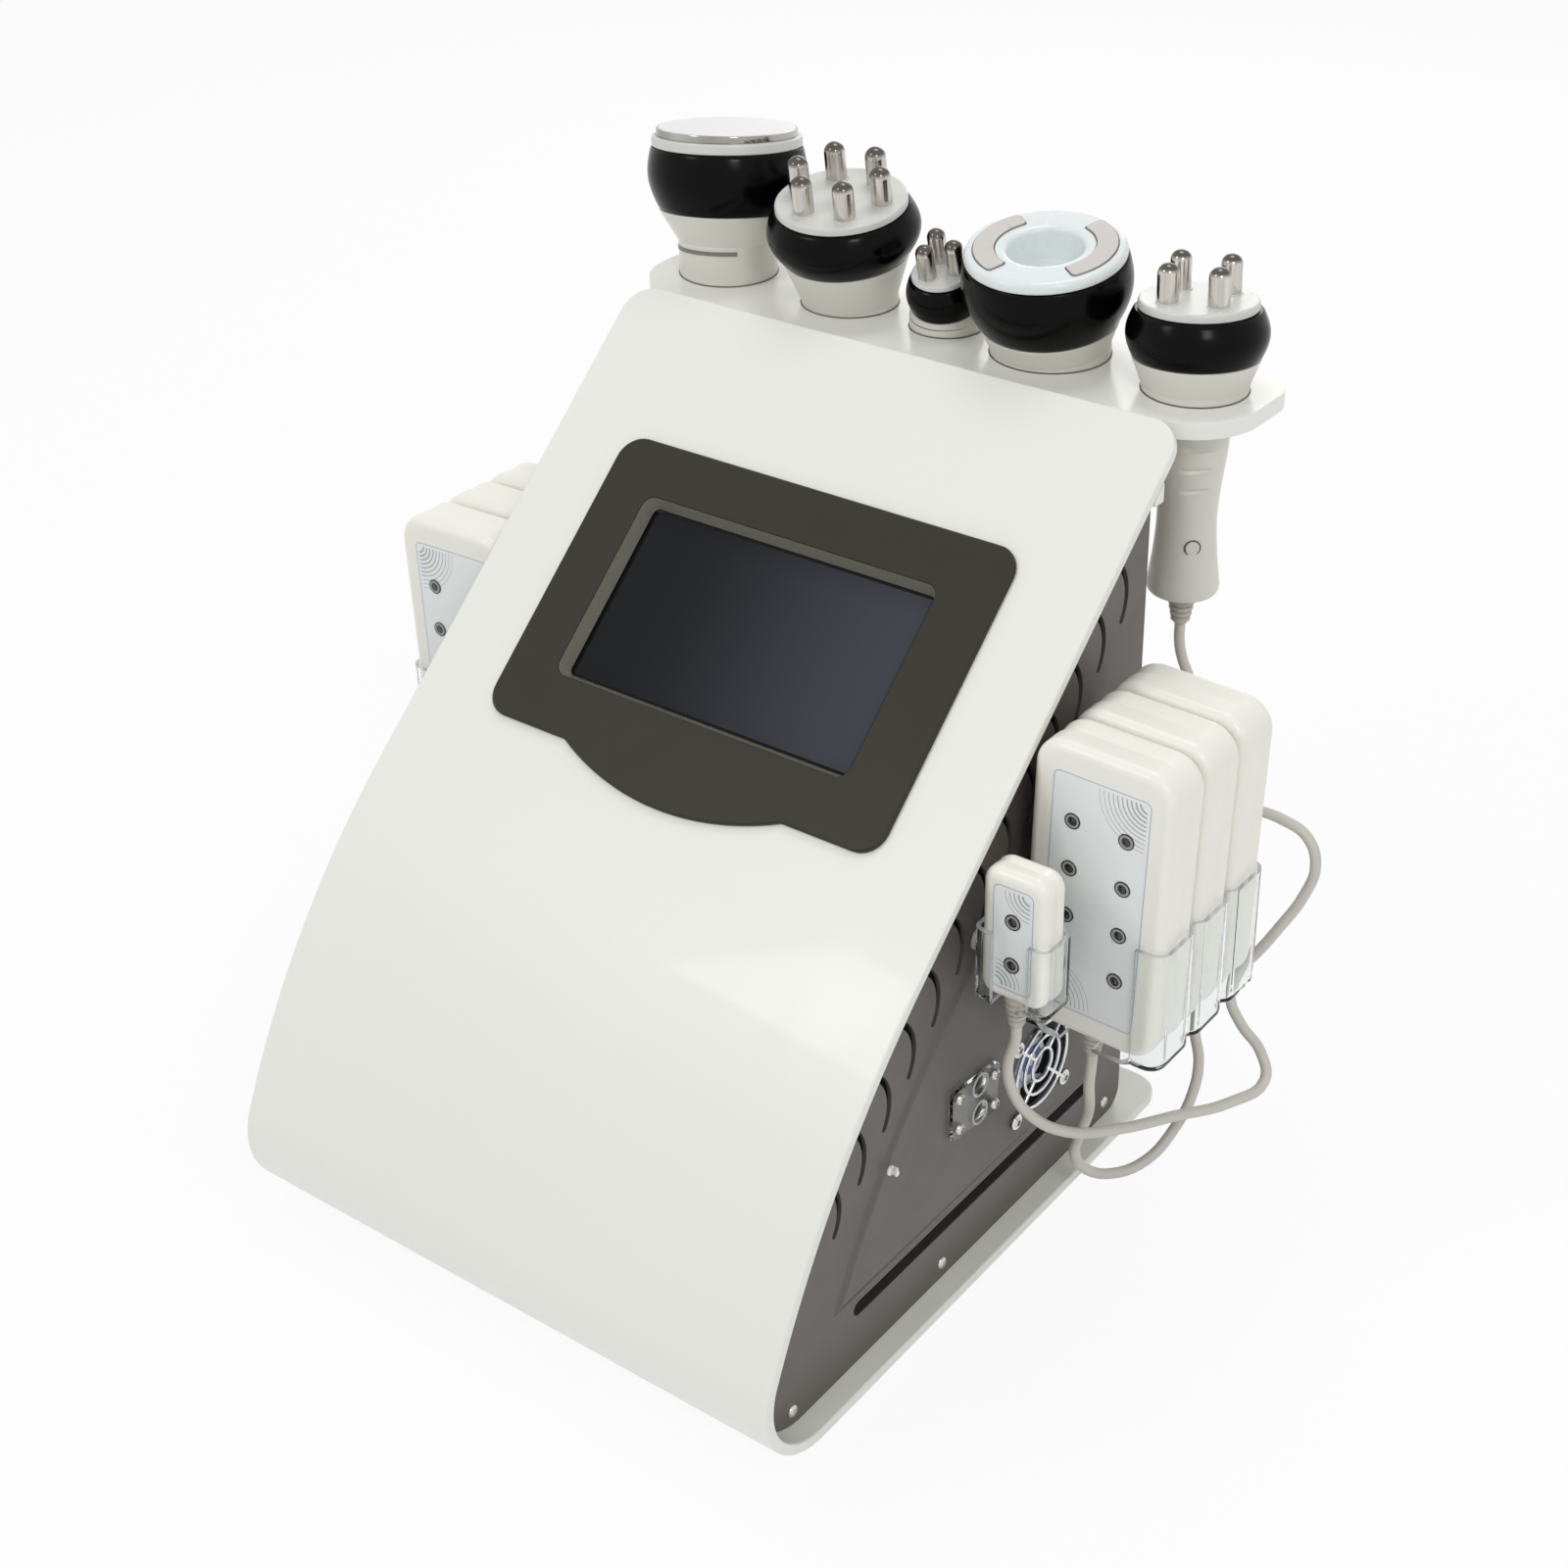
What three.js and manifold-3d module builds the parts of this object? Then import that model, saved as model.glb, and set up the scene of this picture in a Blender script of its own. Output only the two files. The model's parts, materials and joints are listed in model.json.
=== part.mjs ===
// Desktop cavitation slimming machine: a bent white sheet housing with a slanted display,
// five lift-off handpieces in a shelf behind it and eight laser pads in clear side holders.
// Millimetres, +Z up, the front faces -Y. The origin is the middle of the footprint, on the floor.

import * as THREE from 'three'
import { mergeVertices } from 'three/addons/utils/BufferGeometryUtils.js'
import Module from 'manifold-3d'

const wasm = await Module()
wasm.setup()
const { degToRad, radToDeg } = THREE.MathUtils
const fullTurn = degToRad(360)
const halfTurn = degToRad(180)
const quarterTurn = degToRad(90)

// Clearances, and the overrun that carries a cut past its faces
const seatGap = 0.3
const slideGap = 0.5
const overrun = 2
const weldDistance = 0.0001
const mitreOverlap = 0.03

// Shell: one bent sheet, flat base, tight nose, long front curve, straight slanted face
const shellWidth = 300
const sheetThickness = 5
const noseRadius = 37.3
const noseCentreY = 25
const noseHeading = degToRad(66.3)
const frontRadius = 398
const faceSlope = degToRad(41.43)
const faceTopY = 285
const baseRearY = 304
const faceCornerRadius = 15
const baseCornerRadius = 14
const footHeight = 4
const footRadius = 10
const footInset = 32

// Side panels: pressed sheet, set in from the shell's edges
const panelInset = 11
const panelThickness = 2
const panelRearY = 279
const panelCornerRadius = 10
const embossHeight = 1.5
const embossInset = 54
const embossLip = 3
const embossBottomZ = 41
const embossRearMargin = 9
const grooveZ = 34
const grooveFrontY = 65
const grooveRearY = 245
const grooveHalfWidth = 2.6
const grooveDepth = 1.2
const slotCount = 13
const slotWidth = 3.2
const slotRadius = 22
const slotPitchY = 17.5
const slotPitchZ = 16
const firstSlotY = 29.9
const firstSlotZ = 97
const slotFrom = degToRad(-32.5)
const slotTo = degToRad(52)

// Screw holes: one size throughout
const screwShankRadius = 1.5
const panelScrewZ = 13.5
const panelScrewYs = [18, 127, 265]

// Bezel, glass and display on the slanted face
const bezelHalfWidth = 108.5
const bezelTop = 74.4
const bezelBottom = 218.9
const bezelThickness = 2
const bezelCornerRadius = 12
const bulgeHalfWidth = 60
const bulgeDepth = 14
const windowX = -1.5
const windowWidth = 161
const windowHeight = 92
const windowTop = 100.3
const windowDepth = 7
const windowTaper = 2.8
const windowCornerRadius = 5.8
const recessWall = 3
const glassThickness = 1.8
const glassMargin = 4
const moduleThickness = 8
const boardThickness = 1.6
const boardStandoff = 9
const boardWidth = 140
const boardHeight = 84

// Shelf and the bracket that carries it
const shelfDrop = 3.1
const shelfThickness = 8
const shelfOverhang = 14
const shelfFrontY = 290
const shelfRearY = 360
const shelfFrontRadius = 34
const shelfRearRadius = 16
const bracketFrontY = 262.6
const bracketLegThickness = 7
const bracketArmThickness = 10.7
const bracketLegDrop = 7
const bracketRearY = 302
const bracketArmInset = 26

// Handpieces: heights are measured up from the shelf's top face
const handpieceY = 330
const seatLedge = 0.9
const handleLength = 98
const reliefLength = 17
const reliefRadius = 6.3
const cordRadius = 2.5
const buttonRadius = 3.25
const buttonDrop = 71
const buttonProud = 0.7
const buttonDepth = 3.4
const buttonTravel = 1
const handleShapeShares = [
  [0, 1], [0.3, 0.92], [0.5, 0.8], [0.64, 0.77], [0.8, 0.83], [0.96, 0.94], [1, 0.84]
]
const buttonSeatShare = 0.78
const reliefShapeShares = [[0, 1], [0.8, 0.9], [0.94, 0.72], [1, 0.6]]
const handpieceSpecs = [
  {
    name: 'cavitation', xShare: -0.785, holeRadius: 23, handleRadius: 17.5,
    tilt: degToRad(-8.9), turn: degToRad(31), elbow: 15,
    collarTop: 31.3, collarRadius: 33.2, gripTop: 60.7, gripRadius: 38.2, neckRadius: 36.6,
    plateTop: 66, plateRadius: 36.2, discRadius: 34.2, discHeight: 3.6
  },
  {
    name: 'six_pole', xShare: -0.34, holeRadius: 22.2, handleRadius: 17.5,
    tilt: degToRad(9.5), turn: degToRad(8), elbow: 3.2,
    collarTop: 25.8, collarRadius: 30.2, gripTop: 49.3, gripRadius: 36.1, neckRadius: 32,
    plateTop: 53.5, plateRadius: 31, poles: 6, poleRing: 20.8, poleRadius: 5, poleHeight: 18, polePhase: 0.05
  },
  {
    name: 'tri_pole', xShare: -0.004, holeRadius: 16.5, handleRadius: 12.5,
    tilt: degToRad(17), turn: degToRad(10), elbow: 6,
    collarTop: 11, collarRadius: 16, gripTop: 27, gripRadius: 17.5, neckRadius: 15,
    plateTop: 30, plateRadius: 14, poles: 3, poleRing: 7.6, poleRadius: 4.3, poleHeight: 17, polePhase: 0
  },
  {
    name: 'vacuum', xShare: 0.338, holeRadius: 26.5, handleRadius: 17.5,
    tilt: degToRad(9.6), turn: degToRad(4.5), elbow: 4.2,
    collarTop: 17, collarRadius: 31.8, gripTop: 47.3, gripRadius: 37.9, neckRadius: 36.7,
    plateTop: 52.7, plateRadius: 36.3, cupRadius: 17, cupDepth: 16, arcInner: 23, arcOuter: 31, arcHeight: 0.8
  },
  {
    name: 'quad_pole', xShare: 0.789, holeRadius: 22.7, handleRadius: 17.5,
    tilt: degToRad(-4), turn: degToRad(42), elbow: 2,
    collarTop: 15, collarRadius: 28.3, gripTop: 36, gripRadius: 31.2, neckRadius: 27.8,
    plateTop: 40.3, plateRadius: 26.2, poles: 4, poleRing: 15.7, poleRadius: 4.75, poleHeight: 17.3, polePhase: 0.32
  }
]
const cupTaper = 2
const cupWall = 2.5
const plateChamfer = 1.2
const arcHalfSpan = degToRad(42)

// Laser pads and their clear holders
const padWidth = 66.5
const padHeight = 139.5
const padThickness = 26
const padCornerRadius = 14
const padEdge = 5
const padSeamDepth = 0.8
const padOffset = 39.5
const padFrontY = 171
const leftHolderBack = 9
const leftHolderDown = 4
const padLean = degToRad(1.7)
const padPitch = 29
const padCount = 3
const padReliefShift = -2
const smallPadWidth = 31.5
const smallPadHeight = 62.5
const smallPadThickness = 16.5
const smallPadCornerRadius = 8
const smallPadOffset = 25.8
const smallPadFrontY = 134.3
const smallPadReliefShift = -2
const padReliefRadius = 5.4
const padReliefLength = 16.5
const diodeRadius = 3.1
const diodeDepth = 1.6
const diodeColumnGap = 25.3
const diodePitch = 23
const diodeRise = 1
const smallDiodePitch = 21
const smallDiodeRise = -1.5
const holderWall = 2
const holderFloorZ = 124.2
const holderHeight = 59.3
const smallHolderFloorZ = 159.2
const smallHolderHeight = 34.5
const holderSlotHalfWidth = 8
const holderLip = 12
const holderRib = 2.2
const holderCornerRadius = 8
const smallHolderCornerRadius = 5
const holderEdge = 2.5
const holderFoldHalfWidth = 5
const holderFoldDepth = 1.6
const holderSpacerRadius = 5
const holderSpacerInsetShare = 0.22

// Fan, its wire guard and the clear cover plate on the right panel
const fanY = 202
const fanZ = 77.2
const fanSize = 50
const fanDepth = 15
const fanCornerRadius = 3
const fanBoreRadius = 23
const fanOpeningRadius = 22.3
const fanHolePitch = 40
const fanStrutWidth = 3
const fanHubRadius = 11
const fanBladeRadius = 21
const fanBladeCount = 7
const fanBladeThickness = 1.2
const fanBladePitch = degToRad(38)
const fanShaftRadius = 1.5
const fanMountDepth = 3
const guardWireRadius = 0.9
const guardRingRadii = [8, 14.5, 21]
const guardEyeRadius = 3
const coverCorners = { frontY: 128.5, rearY: 166, lowZ: 77, highZ: 107 }
const coverSkew = 4
const coverThickness = 2
const coverHoleRadius = 4.6
const coverHoleZs = [84.5, 99.5]
const coverHoleY = 149.5
const coverScrewInset = 5

// Rear panel, its sockets, inlet and switch
const socketRadius = 8.5
const socketRim = 2
const socketDepth = 8
const socketProud = 5
const socketRecess = 2.6
const handpieceSocketZ = 205
const padSocketZ = 158
const handpieceSocketXs = [-100, -50, 0, 50, 100]
const padSocketXs = [-75, -25, 25, 75]
const ventCount = 5
const ventPitch = 9
const ventLowZ = 262
const ventHalfWidth = 70
const ventHalfHeight = 2
const inletX = -95
const inletZ = 45
const inletWidth = 28
const inletHeight = 22
const inletDepth = 16
const inletFlange = 3
const inletFlangeThickness = 2
const inletWall = 2
const pinWidth = 2
const pinHeight = 4
const pinLength = 8
const pinSpread = 7
const switchX = -55
const switchWidth = 15
const switchHeight = 21
const switchDepth = 12
const switchTilt = degToRad(10)
const switchWall = 1.6
const switchPlay = 1.6

// Parts inside the housing
const supplyX = -50
const supplyY = 195
const supplyWidth = 110
const supplyDepth = 78
const supplyHeight = 36
const supplyWall = 1.5
const terminalHeight = 14
const terminalDepth = 16
const pumpX = 62
const pumpY = 190
const pumpRadius = 16
const pumpMotorLength = 56
const pumpHeadWidth = 42
const pumpHeadLength = 34
const pumpBaseHeight = 6
const pumpPortRadius = 3
const pumpPortLength = 12

// Cords: the plug in the rear panel, and the coil for the length put away
const plugRadius = 6.6
const plugLength = 17
const plugTailRadius = 4.6
const plugTailLength = 9
const plugTaperShare = 0.75
const coilPitch = 5.7
const coilInnerRadius = 20.5
const coilLoopSteps = 14
const coilSides = 6
const cordSides = 8
const cordStep = 17

// Facet counts
const handleSides = 14
const gripSides = 18
const poleSides = 8
const holeSides = 16
const footSides = 12
const screwSides = 8
const wireSides = 4
const bendSteps = 7
const cornerSteps = 3
const padCornerSteps = 2
const gripSteps = 4
const slotSteps = 3
const bevelSteps = 1
const softSteps = 2
const shelfSteps = 5
const bulgeSteps = 8
const lensSides = 6
const guardTurn = degToRad(45)
const fieldFootTurns = [degToRad(2), degToRad(3)]

// Outline helpers: lists of [x, y] pairs in the plane that is extruded
const arc = (centreX, centreY, radius, from, to, steps) =>
  Array.from({ length: steps + 1 }, (_, step) => {
    const angle = from + (to - from) * step / steps
    return [centreX + radius * Math.cos(angle), centreY + radius * Math.sin(angle)]
  })
const disc = (centreX, centreY, radius, sides) =>
  arc(centreX, centreY, radius, 0, fullTurn, sides).slice(0, -1)
const roundedBox = (left, low, right, high, radius, steps = cornerSteps) => [
  ...arc(right - radius, low + radius, radius, -quarterTurn, 0, steps),
  ...arc(right - radius, high - radius, radius, 0, quarterTurn, steps),
  ...arc(left + radius, high - radius, radius, quarterTurn, halfTurn, steps),
  ...arc(left + radius, low + radius, radius, halfTurn, halfTurn + quarterTurn, steps)
]
const box = (left, low, right, high) => [[left, low], [right, low], [right, high], [left, high]]

// A slot along an arc, with square ends softened by one point each
function arcSlot(centreX, centreY, radius, halfWidth, from, to, steps) {
  const tip = angle => [centreX + radius * Math.cos(angle), centreY + radius * Math.sin(angle)]
  const spread = halfWidth / radius
  return [
    ...arc(centreX, centreY, radius + halfWidth, from, to, steps),
    tip(to + spread),
    ...arc(centreX, centreY, radius - halfWidth, to, from, steps),
    tip(from - spread)
  ]
}

// Turns a geometry into a solid with shared corners and its faces outwards
function solid(geometry) {
  const bare = new THREE.BufferGeometry()
  bare.setAttribute('position', geometry.getAttribute('position').clone())
  if (geometry.index) bare.setIndex(geometry.index.clone())
  const welded = mergeVertices(bare, weldDistance)
  const corners = welded.getAttribute('position').array
  const index = welded.index.array
  const faces = []
  let volume = 0
  for (let i = 0; i < index.length; i += 3) {
    const [a, b, c] = [index[i], index[i + 1], index[i + 2]]
    if (a === b || b === c || c === a) continue
    faces.push(a, b, c)
    const [p, q, r] = [a, b, c].map(k => new THREE.Vector3().fromArray(corners, 3 * k))
    volume += p.dot(q.cross(r))
  }
  if (volume < 0) {
    for (let i = 0; i < faces.length; i += 3) [faces[i], faces[i + 1]] = [faces[i + 1], faces[i]]
  }
  const mesh = new wasm.Mesh({ numProp: 3, vertProperties: corners, triVerts: new Uint32Array(faces) })
  return new wasm.Manifold(mesh)
}

// Gives a solid back as a geometry with flat faces
function surface(body) {
  const mesh = body.getMesh()
  const geometry = new THREE.BufferGeometry()
  const corners = new Float32Array(mesh.vertProperties)
  geometry.setAttribute('position', new THREE.BufferAttribute(corners, 3))
  geometry.setIndex([...mesh.triVerts])
  const flat = geometry.toNonIndexed()
  flat.computeVertexNormals()
  return flat
}
const join = bodies => bodies.reduce((whole, body) => whole.add(body))
const onSide = (body, side) => side > 0 ? body : body.mirror([1, 0, 0])
const cut = (body, tools) => tools.reduce((left, tool) => left.subtract(tool), body)

// Extrusions along each axis, from outlines in the two other coordinates
function prism(points, low, high, holes = []) {
  const vectors = list => list.map(([x, y]) => new THREE.Vector2(x, y))
  const shape = new THREE.Shape(vectors(points))
  shape.holes = holes.map(hole => new THREE.Path(vectors(hole)))
  const geometry = new THREE.ExtrudeGeometry(shape, { depth: high - low, bevelEnabled: false })
  return geometry.translate(0, 0, low)
}
const unitX = new THREE.Vector3(1, 0, 0)
const unitY = new THREE.Vector3(0, 1, 0)
const unitZ = new THREE.Vector3(0, 0, 1)
const sideways = new THREE.Matrix4().makeBasis(unitY, unitZ, unitX)
const backwards = new THREE.Matrix4().makeBasis(unitX, unitZ, unitY.clone().negate())
const alongX = (points, low, high, holes) => solid(prism(points, low, high, holes).applyMatrix4(sideways))
const alongY = (points, low, high, holes) => solid(prism(points, -high, -low, holes).applyMatrix4(backwards))
const alongZ = (points, low, high, holes) => solid(prism(points, low, high, holes))

// Revolved solids: profile points are [radius, height], from one end on the axis to the other
const turned = (profile, sides) =>
  solid(new THREE.LatheGeometry(profile.map(([r, h]) => new THREE.Vector2(r, h)), sides).rotateX(quarterTurn))
const pin = (radius, low, high, sides) => turned([[0, low], [radius, low], [radius, high], [0, high]], sides)
const squareTurn = radToDeg(quarterTurn)
const toX = body => body.rotate([0, squareTurn, 0])
const toFront = body => body.rotate([squareTurn, 0, 0])
const toRear = body => body.rotate([-squareTurn, 0, 0])

// A solid through rings of equal point counts, closed by flat ends
function loft(rings) {
  const count = rings[0].length
  const corners = rings.flat(2)
  const faces = []
  for (let ring = 0; ring + 1 < rings.length; ring++) {
    for (let i = 0; i < count; i++) {
      const next = (i + 1) % count
      const [a, b] = [ring * count + i, ring * count + next]
      faces.push(a, b, b + count, a, b + count, a + count)
    }
  }
  const last = (rings.length - 1) * count
  for (let i = 1; i + 1 < count; i++) {
    faces.push(0, i + 1, i, last, last + i, last + i + 1)
  }
  const geometry = new THREE.BufferGeometry()
  geometry.setAttribute('position', new THREE.BufferAttribute(new Float32Array(corners), 3))
  geometry.setIndex(faces)
  return solid(geometry)
}

// The line of the bent sheet in Y and Z, at a distance inwards from its outer face
const noseOutward = [-Math.sin(noseHeading), Math.cos(noseHeading)]
const frontCentre = noseOutward.map((part, axis) =>
  [noseCentreY, noseRadius][axis] + (noseRadius - frontRadius) * part)
const faceFoot = [
  frontCentre[0] - frontRadius * Math.sin(faceSlope),
  frontCentre[1] + frontRadius * Math.cos(faceSlope)
]
const faceTopZ = faceFoot[1] + (faceTopY - faceFoot[0]) * Math.tan(faceSlope)
const faceHeight = (y, inset) => faceTopZ - (faceTopY - y) * Math.tan(faceSlope) - inset / Math.cos(faceSlope)
const noseEnd = noseHeading - halfTurn - quarterTurn
const noseArc = inset =>
  arc(noseCentreY, noseRadius, noseRadius - inset, -quarterTurn, noseEnd, bendSteps)
const frontArc = (inset, from = noseHeading) =>
  arc(...frontCentre, frontRadius - inset, quarterTurn + from, quarterTurn + faceSlope, bendSteps)
const sheetLine = inset => [
  [baseRearY, inset],
  ...noseArc(inset),
  ...frontArc(inset).slice(1),
  [faceTopY + inset * Math.sin(faceSlope), faceTopZ - inset * Math.cos(faceSlope)]
]

// The slanted face's own frame: X as before, Y up the slope, Z out of the face
const faceFrame = new THREE.Matrix4().makeRotationX(faceSlope).setPosition(0, faceTopY, faceTopZ)
const onFace = body => body.transform(faceFrame.elements)

// Cutter for one rounded corner of a plate, at (x, y) with the plate lying towards (-signX, -signY)
function cornerOutline(x, y, radius, signX, signY) {
  const curve = arc(0, 0, radius, 0, quarterTurn, cornerSteps)
    .map(([px, py]) => [x + signX * (px - radius), y + signY * (py - radius)])
  return [
    [x - signX * radius, y + signY * overrun],
    [x + signX * overrun, y + signY * overrun],
    [x + signX * overrun, y - signY * radius],
    ...curve
  ]
}

// Places that more than one piece shares
const panelX = shellWidth / 2 - panelInset
const panelFaceX = panelX + embossHeight
const panelInnerX = panelX - panelThickness
const baseTopZ = sheetThickness
const floorZ = -footHeight
const shelfTopZ = faceTopZ - shelfDrop
const shelfHalfWidth = shellWidth / 2 + shelfOverhang
const padX = panelFaceX + padOffset
const smallPadX = panelFaceX + smallPadOffset
const shelfUnderZ = shelfTopZ - shelfThickness
const bracketTopZ = shelfUnderZ - seatGap
const bracketArmZ = bracketTopZ - bracketArmThickness
const bracketLegZ = bracketArmZ - bracketLegDrop
const windowCentre = -(windowTop + windowHeight / 2)
const recessHalfWidth = windowWidth / 2 + recessWall
const recessHalfHeight = windowHeight / 2 + recessWall
const bezelUnder = seatGap
const bezelFace = bezelUnder + bezelThickness
const recessFloor = bezelFace - windowDepth
const glassTop = recessFloor - seatGap
const moduleTop = glassTop - glassThickness - seatGap
const moduleBack = moduleTop - moduleThickness
const boardTop = moduleBack - seatGap - boardStandoff
const screwHoleRadius = screwShankRadius + seatGap
const fanHoles = [-1, 1].flatMap(a =>
  [-1, 1].map(b => [fanY + a * fanHolePitch / 2, fanZ + b * fanHolePitch / 2]))
const coverScrews = [
  [coverCorners.frontY + coverScrewInset, coverCorners.lowZ + coverScrewInset + coverSkew],
  [coverCorners.frontY + coverScrewInset, coverCorners.highZ - coverScrewInset],
  [coverCorners.rearY - coverScrewInset, coverCorners.lowZ + coverScrewInset],
  [coverCorners.rearY - coverScrewInset, coverCorners.highZ - coverScrewInset - coverSkew]
]

// Materials
const finish = (color, roughness, metalness = 0, opacity = 1) =>
  new THREE.MeshStandardMaterial({ color, roughness, metalness, opacity, transparent: opacity < 1 })
const whiteCoat = finish(0xecece6, 0.4)
const greyCoat = finish(0x6e6963, 0.5, 0.3)
const darkBezel = finish(0x464438, 0.45, 0.2)
const screenGlass = finish(0x2a2d36, 0.1)
const boardGreen = finish(0x2f5a3c, 0.6)
const zincSheet = finish(0xb8bab8, 0.45, 0.8)
const pumpBlack = finish(0x2a2a2c, 0.5)
const fanBlack = finish(0x161616, 0.5)
const fanWhite = finish(0xdfe6ee, 0.4)
const chromeWire = finish(0xd8d8d8, 0.15, 1)
const clearAcrylic = finish(0xdfe8ea, 0.05, 0, 0.35)
const steel = finish(0xbdbab6, 0.25, 1)
const greyPlastic = finish(0xbcbab2, 0.45)
const paleGrey = finish(0xd2d2ce, 0.4)
const glossBlack = finish(0x0b0b0b, 0.12)
const creamPlastic = finish(0xf5f4ee, 0.35)
const cordGrey = finish(0xa8a59c, 0.5)
const socketBlack = finish(0x1c1c1c, 0.5)

const machine = new THREE.Group()
function put(name, geometry, material, parent = machine) {
  const mesh = new THREE.Mesh(geometry, material)
  mesh.name = name
  parent.add(mesh)
  return mesh
}

// Shell: the bent sheet with its rounded corners and the opening behind the bezel
function frontShell() {
  const outline = [...sheetLine(0), ...sheetLine(sheetThickness).reverse()]
  const sheet = alongX(outline, -shellWidth / 2, shellWidth / 2)
  const opening = roundedBox(
    windowX - recessHalfWidth - slideGap, windowCentre - recessHalfHeight - slideGap,
    windowX + recessHalfWidth + slideGap, windowCentre + recessHalfHeight + slideGap, recessWall, bevelSteps)
  const through = [-sheetThickness - overrun, overrun]
  const topCorners = [-1, 1].map(side =>
    onFace(alongZ(cornerOutline(side * shellWidth / 2, 0, faceCornerRadius, side, 1), ...through)))
  const baseCorners = [-1, 1].map(side =>
    alongZ(cornerOutline(side * shellWidth / 2, baseRearY, baseCornerRadius, side, 1),
      -overrun, sheetThickness + overrun))
  const footXs = [-1, 1].map(side => side * (shellWidth / 2 - footInset))
  const footYs = [noseCentreY + footInset - footRadius, baseRearY - footInset]
  const feet = footXs.flatMap(x =>
    footYs.map(y => pin(footRadius, floorZ, sheetThickness / 2, footSides).translate([x, y, 0])))
  return join([cut(sheet, [onFace(alongZ(opening, ...through)), ...topCorners, ...baseCorners]), ...feet])
}
put('front_shell', surface(frontShell()), whiteCoat)

// Side panels: outline under the sheet, raised field, groove and curved vent slots
function panelOutline() {
  const inset = sheetThickness + seatGap
  const stepY = bracketFrontY - seatGap
  return [
    ...arc(panelRearY - panelCornerRadius, inset + panelCornerRadius, panelCornerRadius,
      0, -quarterTurn, cornerSteps),
    ...noseArc(inset),
    ...frontArc(inset).slice(1),
    [stepY, faceHeight(stepY, inset)],
    [stepY, bracketLegZ - seatGap],
    [panelRearY, bracketLegZ - seatGap]
  ]
}
const slotCentre = step => [firstSlotY + step * slotPitchY, firstSlotZ + step * slotPitchZ]
function raisedField() {
  const rearY = panelRearY - embossRearMargin
  const stepY = bracketFrontY - seatGap - embossInset
  const field = shift => [
    ...arc(rearY - embossLip - shift, embossBottomZ + embossLip + shift, embossLip,
      0, -quarterTurn, bevelSteps),
    [frontCentre[0] - (frontRadius - embossInset - shift) * Math.sin(noseHeading - fieldFootTurns[0]),
      embossBottomZ + shift],
    ...frontArc(embossInset + shift, noseHeading - fieldFootTurns[1]),
    [stepY, faceHeight(stepY, embossInset + shift)],
    [rearY - shift, faceHeight(stepY, embossInset + shift)]
  ]
  const ring = (x, shift) => field(shift).map(([y, z]) => [x, y, z])
  return loft([ring(panelInnerX + seatGap, 0), ring(panelX, 0), ring(panelFaceX, embossLip)])
}
function sidePanel(isFanSide) {
  const slots = Array.from({ length: slotCount }, (_, step) =>
    arcSlot(...slotCentre(step), slotRadius, slotWidth / 2, slotFrom, slotTo, slotSteps))
  const plate = alongX(panelOutline(), panelInnerX, panelX, slots)
  const groove = alongX([
    ...arc(grooveRearY, grooveZ, grooveHalfWidth, -quarterTurn, quarterTurn, cornerSteps),
    ...arc(grooveFrontY, grooveZ, grooveHalfWidth, quarterTurn, halfTurn + quarterTurn, cornerSteps)
  ], panelX - grooveDepth, panelX + overrun)
  const through = [panelInnerX - overrun, panelFaceX + overrun]
  const holes = panelScrewYs.map(y => alongX(disc(y, panelScrewZ, screwHoleRadius, screwSides), ...through))
  if (isFanSide) {
    holes.push(alongX(disc(fanY, fanZ, fanOpeningRadius, holeSides), ...through))
    for (const [y, z] of [...fanHoles, ...coverScrews]) {
      holes.push(alongX(disc(y, z, screwHoleRadius, screwSides), ...through))
    }
  }
  return cut(plate.add(raisedField()), [groove, ...holes])
}
put('side_panel_right', surface(sidePanel(true)), greyCoat)
put('side_panel_left', surface(onSide(sidePanel(false), -1)), greyCoat)

// Rear panel between the side panels, with holes for what it carries
const rearPanelHalfWidth = panelInnerX - seatGap
const rearPanelFrontY = panelRearY - panelThickness
const sockets = [
  ...handpieceSocketXs.map(x => [x, handpieceSocketZ]),
  ...padSocketXs.map(x => [x, padSocketZ])
]
function rearPanel() {
  const vents = Array.from({ length: ventCount }, (_, row) => {
    const z = ventLowZ + row * ventPitch
    return roundedBox(-ventHalfWidth, z - ventHalfHeight, ventHalfWidth, z + ventHalfHeight,
      ventHalfHeight, softSteps)
  })
  const holes = [
    box(inletX - inletWidth / 2 - seatGap, inletZ - inletHeight / 2 - seatGap,
      inletX + inletWidth / 2 + seatGap, inletZ + inletHeight / 2 + seatGap),
    box(switchX - switchWidth / 2 - switchWall - seatGap, inletZ - switchHeight / 2 - switchWall - seatGap,
      switchX + switchWidth / 2 + switchWall + seatGap, inletZ + switchHeight / 2 + switchWall + seatGap)
  ]
  const outline = box(-rearPanelHalfWidth, baseTopZ + seatGap, rearPanelHalfWidth, bracketArmZ - seatGap)
  const plate = alongY(outline, rearPanelFrontY, panelRearY, [...vents, ...holes])
  return join([plate, ...sockets.map(([x, z]) => socket(x, z))])
}

// Socket: flange on the panel, contact block behind it, shallow recess in front
function socket(x, z) {
  const profile = [
    [0, -panelThickness - socketDepth], [socketRadius, -panelThickness - socketDepth],
    [socketRadius, socketProud], [socketRadius - socketRim, socketProud],
    [socketRadius - socketRim, socketProud - socketRecess], [0, socketProud - socketRecess]
  ]
  return toRear(turned(profile, poleSides)).translate([x, panelRearY, z])
}
put('rear_panel', surface(rearPanel()), greyCoat)

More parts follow.
